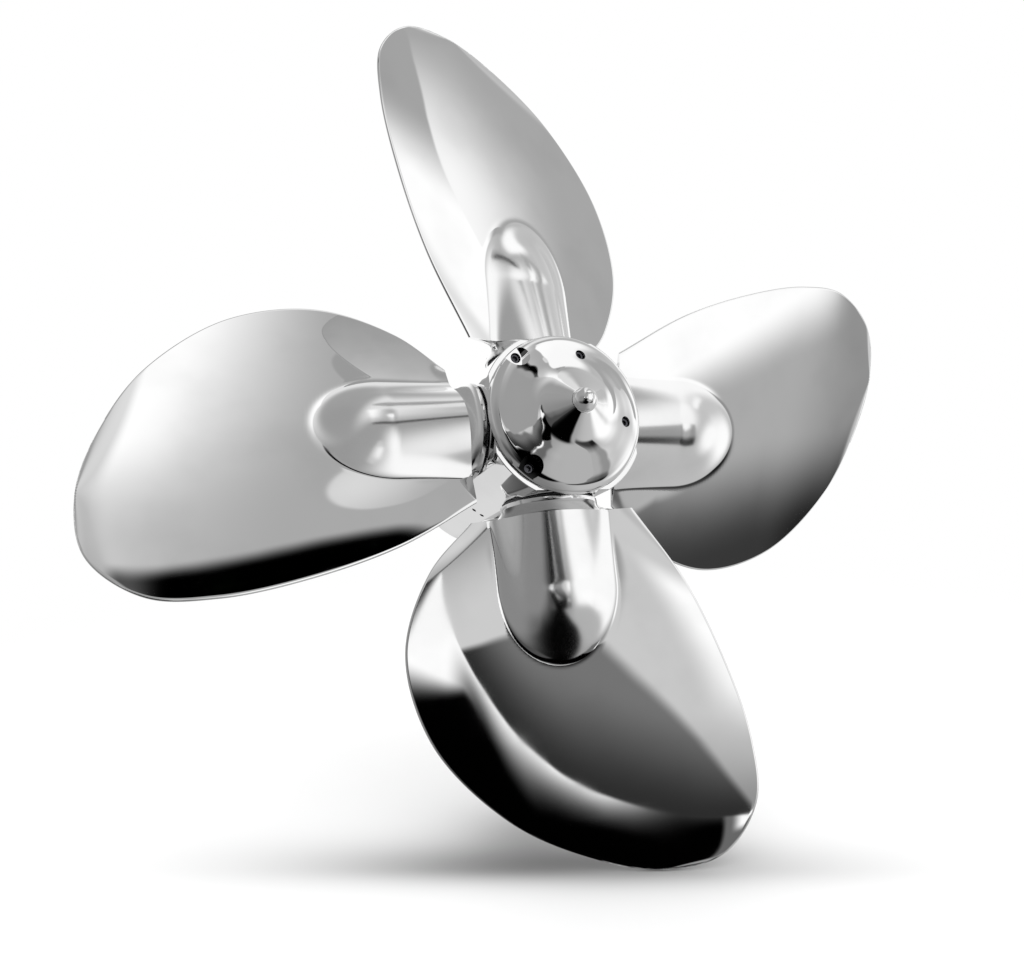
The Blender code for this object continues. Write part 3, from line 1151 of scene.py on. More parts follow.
@dataclass(frozen=True)
class AftCap:
    """The shallow dome over the hub's aft end, and its ball-ended nut.

    Attributes:
        seat: from the hub centre to the dome's flat back.
        profile: (radius, distance aft) from the rim to the flat under the nut.
        rim_round: the round of the dome's rim.
        pocket_circle: the circle on which the pockets stand.
        pocket_radius: a pocket's radius.
        pocket_floor: from the hub centre to a pocket's floor.
        ball_radius: the nut's ball.
        ball_centre: from the hub centre to the ball's centre.
        stem_radius: the nut's stem.
        stem_depth: how deep the stem goes into the dome.
        pocket_reach: how far a pocket's cutter reaches past its floor.
        curve_steps: the steps from one point of the profile to the next.
        nut_steps: the steps of the ball's outline.
    """

    seat: float = 0.0420
    profile: tuple[Point, ...] = (
        (0.0555, 0.0434),
        (0.0545, 0.0464),
        (0.0520, 0.0492),
        (0.0480, 0.0512),
        (0.0400, 0.0541),
        (0.0320, 0.0569),
        (0.0260, 0.0596),
        (0.0200, 0.0633),
        (0.0140, 0.0673),
        (0.0086, 0.0710),
    )
    rim_round: float = 0.0004
    pocket_circle: float = 0.0500
    pocket_radius: float = 0.0075
    pocket_floor: float = 0.0455
    ball_radius: float = 0.0083
    ball_centre: float = 0.0725
    stem_radius: float = 0.0060
    stem_depth: float = 0.0080
    pocket_reach: float = 0.0200
    curve_steps: int = 8
    nut_steps: int = 40

    def dress(self, fasteners: Fasteners) -> None:
        """Make the dome, cut its pockets and holes, and set the nut in it.

        Args:
            fasteners: the screws, whose pockets and holes are cut.
        """
        dome = [tuple(point) for point in smooth_curve(self.profile, self.curve_steps)]
        rim = self.profile[0][0]
        flat = self.profile[-1][1]
        hole = self.stem_radius + FIT_GAP
        floor = flat - self.stem_depth
        back = rounded([(0.0, self.seat), (rim, self.seat), dome[0]], self.rim_round, closed=False)
        profile = back[:-1] + dome + [(hole, flat), (hole, floor), (0.0, floor)]
        blank = to_mesh(turned(profile, segments=256), "cap_blank")
        tools = [self._pocket(angle) for angle in fasteners.pitch.angles()]
        tools += fasteners.cap.holes() + fasteners.pitch.holes()
        mesh = carve(blank, tools)
        # Paint shade on the floor of the astern pocket: the dome's colour is darkened there.
        self._grease(mesh, fasteners.pitch.angles()[-1])
        settle("cap_dome", mesh, SHAFT_PLACE, CAP_POLISH, "hub", ("aft_cap",))
        self._nut(flat + FIT_GAP)

    def _pocket(self, angle: float) -> bpy.types.Mesh:
        """Make the tool that cuts a pocket.

        Args:
            angle: the pocket's clock angle, in degrees.

        Returns:
            The tool, in the shaft's frame.
        """
        profile = [(0.0, 0.0), (self.pocket_radius, 0.0)]
        profile += [(self.pocket_radius, self.pocket_reach), (0.0, self.pocket_reach)]
        tool = to_mesh(turned(profile, segments=96), "pocket")
        tool.transform(Matrix.Translation(on_clock(self.pocket_circle, angle, self.pocket_floor)))
        return tool

    def _grease(self, mesh: bpy.types.Mesh, angle: float) -> None:
        """Mark the floor of a pocket, which the dome's finish paints almost black as painted shade in the
        recess.

        Args:
            mesh: the dome.
            angle: the pocket's clock angle, in degrees.
        """
        centre = np.array(on_clock(self.pocket_circle, angle, self.pocket_floor))
        offset = vertex_places(mesh) - centre
        near = np.hypot(offset[:, 0], offset[:, 1]) < self.pocket_radius + FIT_GAP
        mark(mesh, (near & (offset[:, 2] < FIT_GAP) & (offset[:, 2] > -FIT_GAP)).astype(float))

    def _nut(self, seat: float) -> None:
        """Make the ball-ended nut.

        Args:
            seat: from the hub centre to the flat on which it stands.
        """
        start = math.acos((self.ball_centre - seat) / self.ball_radius)
        profile = [(0.0, seat - self.stem_depth), (self.stem_radius, seat - self.stem_depth)]
        profile.append((self.stem_radius, seat))
        for step in range(self.nut_steps):
            angle = start + (math.pi - start) * step / self.nut_steps
            height = self.ball_centre - self.ball_radius * math.cos(angle)
            profile.append((self.ball_radius * math.sin(angle), height))
        profile.append((0.0, self.ball_centre + self.ball_radius))
        mesh = to_mesh(turned(profile, segments=96), "nut")
        settle("nut_ball", mesh, SHAFT_PLACE, MIRROR, "hub", ("nose_nut",))


@dataclass(frozen=True)
class ForeEnd:
    """The shaft boss with its tapered bore and keyway, its seal, and the fore cover.

    Attributes:
        boss_radius: the boss's radius.
        boss_length: its length.
        bore_radius: the bore's radius at its mouth.
        bore_taper: the bore's taper on its diameter.
        bore_length: the bore's length.
        key_width: the keyway's width.
        key_depth: its depth past the bore's mouth.
        key_length: its length.
        cover_inner: the cover's inner radius.
        cover_outer: its outer radius.
        cover_thickness: its thickness.
        boss_round: the round of the boss's edges.
        seal_round: the round of the seal's edges.
        cover_round: the round of the cover's edges.
    """

    boss_radius: float = 0.0360
    boss_length: float = 0.0950
    bore_radius: float = 0.0200
    bore_taper: float = 0.10
    bore_length: float = 0.0900
    key_width: float = 0.0120
    key_depth: float = 0.0045
    key_length: float = 0.0700
    cover_inner: float = 0.0410
    cover_outer: float = 0.0540
    cover_thickness: float = 0.0060
    boss_round: float = 0.0008
    seal_round: float = 0.0010
    cover_round: float = 0.0005

    def dress(self, fasteners: Fasteners) -> None:
        """Make the boss, its seal and the cover.

        Args:
            fasteners: the screws, whose holes are cut in the cover.
        """
        fore = -HUB_FORE_LENGTH
        foot = self.bore_radius - self.bore_taper / 2 * self.bore_length
        profile = [
            (0.0, fore + self.bore_length),
            (foot, fore + self.bore_length),
            (self.bore_radius, fore),
            (self.boss_radius, fore),
            (self.boss_radius, fore + self.boss_length),
            (0.0, fore + self.boss_length),
        ]
        blank = to_mesh(turned(rounded(profile, self.boss_round, closed=False)), "boss_blank")
        settle("boss", carve(blank, [self._keyway(fore)]), SHAFT_PLACE, BRONZE, "hub", ("shaft_boss",))
        back = fore + self.cover_thickness
        seal = band(self.boss_radius + FIT_GAP, self.cover_inner - FIT_GAP, fore, back)
        seal_mesh = to_mesh(turned(rounded(seal, self.seal_round)), "ring")
        settle("boss_ring", seal_mesh, SHAFT_PLACE, SEAL, "hub", ("boss_seal",))
        cover = band(self.cover_inner, self.cover_outer, fore, back)
        cover_blank = to_mesh(turned(rounded(cover, self.cover_round)), "cover_blank")
        cover_mesh = carve(cover_blank, fasteners.cover.holes())
        settle("cover_ring", cover_mesh, SHAFT_PLACE, TURNED, "hub", ("fore_cover",))

    def _keyway(self, fore: float) -> bpy.types.Mesh:
        """Make the tool that cuts the keyway at the top of the bore.

        Args:
            fore: from the hub centre to the bore's mouth.

        Returns:
            The tool, in the shaft's frame.
        """
        depth = self.bore_radius + self.key_depth
        shape = bmesh.new()
        bmesh.ops.create_cube(shape, size=1.0)
        bmesh.ops.scale(shape, verts=shape.verts, vec=(self.key_width, depth, 2 * self.key_length))
        bmesh.ops.translate(shape, verts=shape.verts, vec=(0.0, depth / 2, fore))
        return to_mesh(shape, "keyway")


# Blades


@dataclass(frozen=True)
class Blade:
    """One blade: a thin plate, the long tongue on both its faces, and the spindle.

    Attributes:
        outline: (chord, radius) from the trailing edge's root corner round the tip to the
            leading edge's root corner.
        tip_point: the outline's point at the tip.
        root: the radius of the plate's root edge.
        tip_radius: the radius of the tip.
        pitch: the blade's pitch at rest, in degrees.
        edge_half: half the plate's thickness at its edges.
        root_half: half its thickness in the middle at the root.
        tip_half: half its thickness in the middle at the tip.
        edge_round: how far in from its edge the plate is rounded.
        tongue_width: the tongue's half width.
        tongue_root: the tongue's height at the root.
        tongue_mid: its height from the end of its straight part.
        tongue_straight: the radius where the straight part ends.
        tongue_end: the radius of its end.
        fillet: the size of the soft join from plate to tongue.
        steps: the sections from one outline point to the next.
        stations: the points across a section, on each face.
        middle_share: the share of a section's width over which they are evenly spaced.
        lip: the places nearest a section's edge, as shares of its half width.
        mark_reach: how far out on the tongue its duller polish reaches; 1 is the tongue's edge.
        mark_soft: the part of that reach over which the polish changes.
        web: (half chord, radius) of the fairing between the collar and the plate.
        web_steps: the steps across it.
        spindle_radius: the spindle's radius.
        spindle_foot: from the shaft axis to its foot.
        spindle_chamfer: the chamfer round its foot.
        collar_radius: the root collar's radius.
        collar_foot: from the shaft axis to its underside.
        collar_chamfer: the chamfer round its underside.
        collar_top: from the shaft axis to where it starts to turn into the tongue.
        tuck: how far the end of that blend stays inside the tongue.
        ease: how late the blend widens; 1 is a straight cone.
        stem_steps: the sections of the blend.
        stem_sides: the sides of the spindle and the collar.
    """

    outline: tuple[Point, ...] = (
        (-0.0588, 0.0610),
        (-0.0896, 0.1171),
        (-0.1095, 0.1769),
        (-0.1182, 0.2264),
        (-0.1151, 0.2640),
        (-0.0893, 0.2935),
        (-0.0480, 0.2993),
        (-0.0002, 0.2868),
        (0.0487, 0.2599),
        (0.0943, 0.2069),
        (0.1075, 0.1457),
        (0.0871, 0.0932),
        (0.0555, 0.0610),
    )
    tip_point: int = 6
    root: float = 0.0610
    tip_radius: float = 0.2993
    pitch: float = 20.5
    edge_half: float = 0.0009
    root_half: float = 0.0048
    tip_half: float = 0.0016
    edge_round: float = 0.0011
    tongue_width: float = 0.0392
    tongue_root: float = 0.0222
    tongue_mid: float = 0.0160
    tongue_straight: float = 0.1100
    tongue_end: float = 0.1620
    fillet: float = 0.0060
    steps: int = 24
    stations: int = 150
    middle_share: float = 0.97
    lip: tuple[float, ...] = (0.0, 0.0008, 0.0030, 0.0065, 0.0120, 0.0190)
    mark_reach: float = 1.02
    mark_soft: float = 0.12
    web: tuple[Point, ...] = (
        (0.0345, 0.0560),
        (0.0365, 0.0582),
        (0.0390, 0.0595),
        (0.0430, 0.0603),
        (0.0460, 0.0606),
        (0.0520, 0.0612),
    )
    web_steps: int = 24
    spindle_radius: float = 0.0200
    spindle_foot: float = 0.0240
    spindle_chamfer: float = 0.0008
    collar_radius: float = 0.0340
    collar_foot: float = 0.0530
    collar_chamfer: float = 0.0005
    collar_top: float = 0.0560
    tuck: float = 0.0004
    ease: float = 1.6
    stem_steps: int = 12
    stem_sides: int = 96

    def mesh(self) -> bpy.types.Mesh:
        """Make the blade in its own frame, at zero pitch.

        Returns:
            The blade, with its tongue marked.
        """
        shape = bmesh.new()
        self._add_plate(shape)
        for part in (self._web(), self._stem()):
            piece = to_mesh(part, "blade_part")
            shape.from_mesh(piece)
            bpy.data.meshes.remove(piece)
        mesh = bpy.data.meshes.new("blade")
        shape.to_mesh(mesh)
        shape.free()
        shade(mesh, angle=40.0)
        self._mark_tongue(mesh)
        return mesh

    def _mark_tongue(self, mesh: bpy.types.Mesh) -> None:
        """Mark the tongue, which is less finely polished than the plate."""
        out = self._tongue_reach(vertex_places(mesh)[:, [0, 2]])
        mark(mesh, np.clip((self.mark_reach - out) / self.mark_soft, 0.0, 1.0))

    def _add_plate(self, shape: bmesh.types.BMesh) -> None:
        """Add the plate and its tongue as one closed skin.

        Args:
            shape: the shape to add it to.
        """
        curve = smooth_curve(self.outline, self.steps)
        tip = self.tip_point * self.steps
        pairs = list(zip(curve[: tip + 1], curve[: tip - 1 : -1]))
        edge = np.array([tuple(point) for point in curve])
        across = self._spacing()
        rows = []
        for trailing, leading in pairs:
            start = np.array(trailing)
            end = np.array(leading)
            points = start + (end - start) * ((across + 1) / 2)[:, None]
            half = self._half_thickness(points, across, edge)
            aft = [shape.verts.new((c, -h, r)) for (c, r), h in zip(points, half)]
            fore = [shape.verts.new((c, h, r)) for (c, r), h in zip(points, half)]
            rows.append(aft + fore[::-1])
        for low, high in zip(rows, rows[1:]):
            stitch(shape, low, high)
        shape.faces.new(reversed(rows[0]))
        close_up(shape, distance=2e-6)

    def _spacing(self) -> np.ndarray:
        """Return the places across a section, from -1 to 1, closer together at the edges."""
        inner = self.middle_share * np.linspace(-1.0, 1.0, self.stations + 1)[1:-1]
        lip = 1.0 - np.array(self.lip)
        return np.concatenate([-lip, inner, lip[::-1]])

    def _half_thickness(self, points: np.ndarray, across: np.ndarray, edge: np.ndarray) -> np.ndarray:
        """Return half the blade's thickness at points of one section.

        Args:
            points: the (chord, radius) points.
            across: their places across the section, from -1 to 1.
            edge: the points of the whole outline.

        Returns:
            The distance from the blade's middle plane to its face, at each point.
        """
        share = np.clip((points[:, 1] - self.root) / (self.tip_radius - self.root), 0.0, 1.0)
        middle = self.root_half + (self.tip_half - self.root_half) * share
        plate = self.edge_half + (middle - self.edge_half) * (1 - across**2)
        inset = np.min(np.linalg.norm(points[:, None, :] - edge[None, :, :], axis=2), axis=1)
        depth = np.clip(inset / self.edge_round, 0.0, 1.0)
        plate = plate * np.sqrt(1 - (1 - depth) ** 2)
        tongue = self._tongue_height(points)
        blend = np.maximum(self.fillet - np.abs(plate - tongue), 0.0) / self.fillet
        return np.maximum(plate, tongue) + blend**2 * self.fillet / 4 * depth

    def _tongue_height(self, points: np.ndarray) -> np.ndarray:
        """Work out the tongue's height over the middle plane.

        Args:
            points: the (chord, radius) points.

        Returns:
            The height at each point, which is negative round the tongue.
        """
        rise = np.clip((points[:, 1] - self.root) / (self.tongue_straight - self.root), 0.0, 1.0)
        height = self.tongue_root + (self.tongue_mid - self.tongue_root) * rise
        out = self._tongue_reach(points)
        return height * (1 - np.minimum(out, 1.0) ** 2 - 2 * np.maximum(out - 1.0, 0.0))

    def _tongue_reach(self, points: np.ndarray) -> np.ndarray:
        """Work out how far out on the tongue points are.

        Args:
            points: the (chord, radius) points.

        Returns:
            The reach at each point, from 0 on the tongue's middle line to 1 at its edge.
        """
        past = np.maximum(points[:, 1] - self.tongue_straight, 0.0)
        end = past / (self.tongue_end - self.tongue_straight)
        return np.sqrt((points[:, 0] / self.tongue_width) ** 2 + end**2)

    def _web(self) -> bmesh.types.BMesh:
        """Make the fairing under the plate's root edge, which runs in to the collar.

        Returns:
            The closed shape.
        """
        across = np.cos(np.linspace(0.0, math.pi, self.web_steps + 1))
        half = self.edge_half + (self.root_half - self.edge_half) * (1 - across**2)
        sections = []
        for half_chord, radius in self.web:
            aft = [(half_chord * a, -h, radius) for a, h in zip(across, half)]
            fore = [(half_chord * a, h, radius) for a, h in zip(across, half)]
            sections.append(aft + fore[::-1])
        return loft(sections)

    def _stem(self) -> bmesh.types.BMesh:
        """Make the spindle, its collar and the blend to the tongue's root.

        Returns:
            The closed shape.
        """
        spindle = self.spindle_radius
        collar = self.collar_radius
        turns = (
            (self.spindle_foot, spindle - self.spindle_chamfer),
            (self.spindle_foot + self.spindle_chamfer, spindle),
            (self.collar_foot, spindle),
            (self.collar_foot, collar - self.collar_chamfer),
            (self.collar_foot + self.collar_chamfer, collar),
        )
        sections = [self._section(along, radius, radius, 0.0) for along, radius in turns]
        for step in range(self.stem_steps + 1):
            share = step / self.stem_steps
            eased = share**self.ease
            along = self.collar_top + (self.root + self.tuck - self.collar_top) * share
            width = collar + (self.tongue_width - self.tuck - collar) * eased
            height = collar + (self.tongue_root - collar) * eased
            sections.append(self._section(along, width, height, share))
        return loft(sections)

    def _section(self, along: float, width: float, height: float, flat: float) -> list[Point3]:
        """Draw one section of the stem.

        Args:
            along: its distance from the shaft axis.
            width: its half width, along the chord.
            height: its half height, from the middle plane.
            flat: its form, from 0, an oval, to 1, the tongue's own.

        Returns:
            The points.
        """
        points = []
        for index in range(self.stem_sides):
            angle = math.tau * index / self.stem_sides
            rise = math.sin(angle) * abs(math.sin(angle)) ** flat
            points.append((width * math.cos(angle), height * rise, along))
        return points

    def dress(self) -> None:
        """Make the four blades, each at its own place round the hub."""
        for station in Station:
            place = station.place @ Matrix.Rotation(math.radians(self.pitch), 4, "Z")
            name = f"polished_{station.body}"
            settle(name, self.mesh(), place, BLADE_POLISH, station.body, (station.body,))


# Studio


@dataclass(frozen=True)
class Viewpoint:
    """The camera, at the photograph's viewing angle.

    Attributes:
        offset: from the hub centre to the camera.
        right: the picture's right in world axes.
        up: the picture's up in world axes.
        lens: the focal length, in millimetres.
        sensor: the sensor's width, in millimetres.
        near: the nearest distance that it sees.
    """

    offset: Point3 = (-0.2702, -0.5693, -0.1739)
    right: Point3 = (0.92267, -0.37187, -0.10194)
    up: Point3 = (0.01144, -0.23785, 0.97124)
    lens: float = 32.10
    sensor: float = 36.0
    near: float = 0.01

    def place(self) -> None:
        """Make the camera and look through it."""
        camera = bpy.data.cameras.new("camera")
        camera.lens = self.lens
        camera.sensor_width = self.sensor
        camera.clip_start = self.near
        right = Vector(self.right).normalized()
        back = right.cross(Vector(self.up)).normalized()
        facing = Matrix((right, back.cross(right), back)).transposed().to_4x4()
        item = link_object("camera", camera)
        item.matrix_world = Matrix.Translation(HUB_CENTRE + Vector(self.offset)) @ facing
        bpy.context.scene.camera = item


@dataclass(frozen=True)
class Card:
    """A soft-edged card or flag in the studio, seen from the hub.

    Attributes:
        azimuth: its bearing, in degrees from -Y towards +X.
        elevation: its height over the horizon, in degrees.
        half_width: its half width, in degrees.
        half_height: its half height, in degrees.
        soft: how soft its edge is, as a share of its size.
        tone: how bright it is, from 0, black, to 1, white.
    """

    azimuth: float
    elevation: float
    half_width: float
    half_height: float
    soft: float
    tone: float

    def over(self, nodes: Nodes, direction: Value, walls: Value) -> Value:
        """Lay the card over the walls.

        Args:
            nodes: the world's nodes.
            direction: the direction looked in.
            walls: the tone of the walls behind the card.

        Returns:
            The tone of walls and card.
        """
        bearing = math.radians(self.azimuth)
        rise = math.radians(self.elevation)
        level = Vector((math.sin(bearing), -math.cos(bearing), 0.0))
        centre = level * math.cos(rise) + Vector((0.0, 0.0, math.sin(rise)))
        across = Vector((math.cos(bearing), math.sin(bearing), 0.0))
        u = nodes.along(direction, across) / math.sin(math.radians(self.half_width))
        v = nodes.along(direction, centre.cross(across)) / math.sin(math.radians(self.half_height))
        reach = (u * u + v * v).root()
        # The same measures hold for the opposite direction, where there is no card.
        ahead = nodes.along(direction, centre).rise(-0.02, 0.02)
        mask = reach.rise(1.0 + self.soft, 1.0 - self.soft) * ahead
        return mask * self.tone + walls * (1.0 - mask)


@dataclass(frozen=True)
class Window:
    """The part of the studio that one blade mirrors to the camera.

    A direction is given on the window by two slopes: towards the blade's leading edge and outwards
    along its spindle, each for one step aft.

    Attributes:
        station: the blade.
        pattern: the tone on the window, from its two slopes.
        centre: the window's middle.
        half: its half width and half height.
        notch: the top of the arched notch that the blade's tongue leaves out of it.
        narrow: how narrow the notch is: its drop for a step of 1 to the side.
        soft: the width of its soft border.
    """

    station: Station
    pattern: Callable[[Value, Value], Value]
    centre: Point
    half: Point
    notch: Point
    narrow: float
    soft: float = 0.12

    def over(self, nodes: Nodes, direction: Value, walls: Value) -> Value:
        """Lay the window over the walls.

        Args:
            nodes: the world's nodes.
            direction: the direction looked in.
            walls: the tone of the walls round the window.

        Returns:
            The tone of walls and window.
        """
        turn = self.station.place @ Matrix.Rotation(math.radians(Blade.pitch), 4, "Z")
        chord, fore, span = (turn.to_3x3().col[index] for index in range(3))
        aft = nodes.along(direction, -fore)
        # The slopes grow without end as a direction turns away from aft, so the window stops first.
        depth = aft.at_least(0.05)
        x = nodes.along(direction, chord) / depth
        z = nodes.along(direction, span) / depth
        side = (x - self.centre[0]).size().rise(self.half[0] + self.soft, self.half[0])
        height = (z - self.centre[1]).size().rise(self.half[1] + self.soft, self.half[1])
        away = x - self.notch[0]
        outside = (z - self.notch[1] + self.narrow * away * away).rise(-0.04, -0.01)
        mask = side * height * outside * aft.rise(0.05, 0.15)
        return walls.towards(self.pattern(x, z), mask)


class Patterns:
    """What each blade mirrors: soft gradients, with a few crisp edges of cards and flags."""

    @staticmethod
    def top(x: Value, z: Value) -> Value:
        """Draw what the top blade mirrors: a grey flag beside a white card.

        Args:
            x: the slope towards the blade's leading edge.
            z: the slope outwards along its spindle.

        Returns:
            The tone, from 0, black, to 1, white.
        """
        flag = 1.0 - 0.37 * z.rise(0.72, 0.90)
        glow = (1.0 - x.rise(0.80, 1.32)) * (1.0 - z.rise(0.78, 1.14))
        card = 0.645 + 0.33 * glow
        drop = (0.84 - z).at_least(0.0)
        edge = 0.79 + 3.5 * drop * drop
        return flag.towards(card, (x - edge).rise(-0.005, 0.006))

    @staticmethod
    def right(x: Value, z: Value) -> Value:
        """Draw what the right blade mirrors: white to grey to a dark corner.

        Args:
            x: the slope towards the blade's leading edge.
            z: the slope outwards along its spindle.

        Returns:
            The tone, from 0, black, to 1, white.
        """
        low = (0.84 - z).at_least(0.0)
        white = (x - 0.5 * (0.84 - z)).rise(-0.06, -0.20) * z.rise(1.04, 0.90)
        dark = (x - 0.33 * low).rise(0.06, 0.29)
        return 0.66 + 0.34 * white - 0.43 * dark - 0.10 * z.rise(0.85, 1.0)

    @staticmethod
    def left(x: Value, z: Value) -> Value:
        """Draw what the left blade mirrors: a white sky over a black band.

        Args:
            x: the slope towards the blade's leading edge.
            z: the slope outwards along its spindle.

        Returns:
            The tone, from 0, black, to 1, white.
        """
        share = 0.14 + 0.21 * x.rise(0.55, 0.80)
        sky = 0.655 + share * (z + 0.25 * (x - 0.75)).rise(-0.24, 0.08)
        # A pale lobe and a faint grey oval stand low in the sky.
        lobe_reach = (((x - 0.60) / 0.095) ** 2.0 + ((z + 0.40) / 0.185) ** 2.0).root()
        lobe = 0.67 + 0.17 * z.rise(-0.45, -0.24) * x.rise(0.44, 0.60)
        sky = sky.towards(lobe, lobe_reach.rise(1.02, 0.96) * x.rise(0.72, 0.62))
        oval = (((x - 0.97) / 0.10) ** 2.0 + ((z + 0.37) / 0.10) ** 2.0).root()
        sky = sky - 0.06 * oval.rise(1.04, 0.96)
        # The band ends at a bowed edge, is grey high up, and has a pale wall past it.
        fall = (-0.15 - z).at_least(0.0)
        edge = 0.495 - 1.25 * fall * fall
        shade = 0.4 * z.rise(-0.04, 0.04)
        band = sky * (shade + (1.0 - shade) * (x - edge).rise(-0.018, 0.018))
        rim = 0.43 - 0.65 * (-0.25 - z).at_least(0.0)
        return band.towards(0.62, (x - rim).rise(0.01, -0.03))

    @staticmethod
    def bottom(x: Value, z: Value) -> Value:
        """Draw what the bottom blade mirrors: a bright arc under a black flag.

        Args:
            x: the slope towards the blade's leading edge.
            z: the slope outwards along its spindle.

        Returns:
            The tone, from 0, black, to 1, white.
        """
        past = (x + 0.1).at_least(0.0)
        arc = 0.152 - 0.18 * (x + 0.1) - 4.1 * past * past
        # Over the arc the light fades towards the flag.
        flag = 0.20 - 0.165 * x.rise(0.0, 0.09)
        share = (z - arc) / (flag - arc).at_least(0.02)
        fade = (share.ramp(1.0, 0.0) ** 1.6).towards(share.rise(1.0, 0.70), x.rise(0.05, 0.12))
        strength = 0.18 + 0.82 * x.rise(-0.22, -0.07)
        above = 0.02 + 0.98 * strength * fade
        above = above.towards(0.40, x.rise(-0.272, -0.285))
        above = above.towards(1.0, x.rise(-0.29, -0.31) * z.rise(0.225, 0.205))
        corner = (x - 0.185 - 0.1 * (z + 0.15)).rise(-0.012, 0.012)
        above = above.towards(0.15, corner * z.rise(-0.06, -0.12))
        # Under the arc it is dark, with a pale patch low down and another on its trailing side.
        inside = 0.19 + 0.26 * (arc - z).rise(0.0, 0.13)
        light = 0.79 - 0.16 * z.rise(-0.08, -0.28)
        inside = inside.towards(light, z.rise(-0.024, -0.038) * x.rise(-0.09, -0.07))
        step = -0.167 - x
        border = -0.003 + 0.70 * step + 18.0 * step * step * step
        middle = (z + 0.06).size().rise(0.14, 0.06)
        pale = 0.78 + 0.22 * x.rise(-0.28, -0.36) * middle - 0.22 * z.rise(0.04, 0.17)
        inside = inside.towards(pale, (z - border).rise(0.020, -0.014) * x.rise(-0.07, -0.09))
        # The leading side runs out in a dark grey wall.
        tone = inside.towards(above, (z - arc).rise(-0.003, 0.003))
        rim = 0.20 - 0.5 * z.at_least(0.0)
        return tone.towards(0.30, (x - rim).rise(0.0, 0.04))


@dataclass(frozen=True)
class Shadow:
    """A soft, flat shadow painted into the floor's colour, on axes across the picture and away from the
    camera.

    Attributes:
        across: its middle, across the picture from the foot of the lowest blade.
        away: its middle, away from the camera.
        width: how fast it fades to the sides.
        near: how fast it fades towards the camera.
        far: how fast it fades away from the camera.
        depth: how dark its middle is, from 0 to 1.
        tail: how short its tail is.
    """

    across: float
    away: float
    width: float
    near: float
    far: float
    depth: float
    tail: float = 4.0

    def over(self, across: Value, away: Value) -> Value:
        """Work out how much of the floor's colour the painted shadow leaves.

        Args:
            across: the place across the picture.
            away: the place away from the camera.

        Returns:
            The share of the light.
        """
        offset = away - self.away
        side = (across - self.across) / self.width
        front = offset.at_most(0.0) / self.near + offset.at_least(0.0) / self.far
        spread = (side * side + front * front) / (2.0 * self.tail)
        return 1.0 - self.depth * (1.0 + spread) ** -self.tail


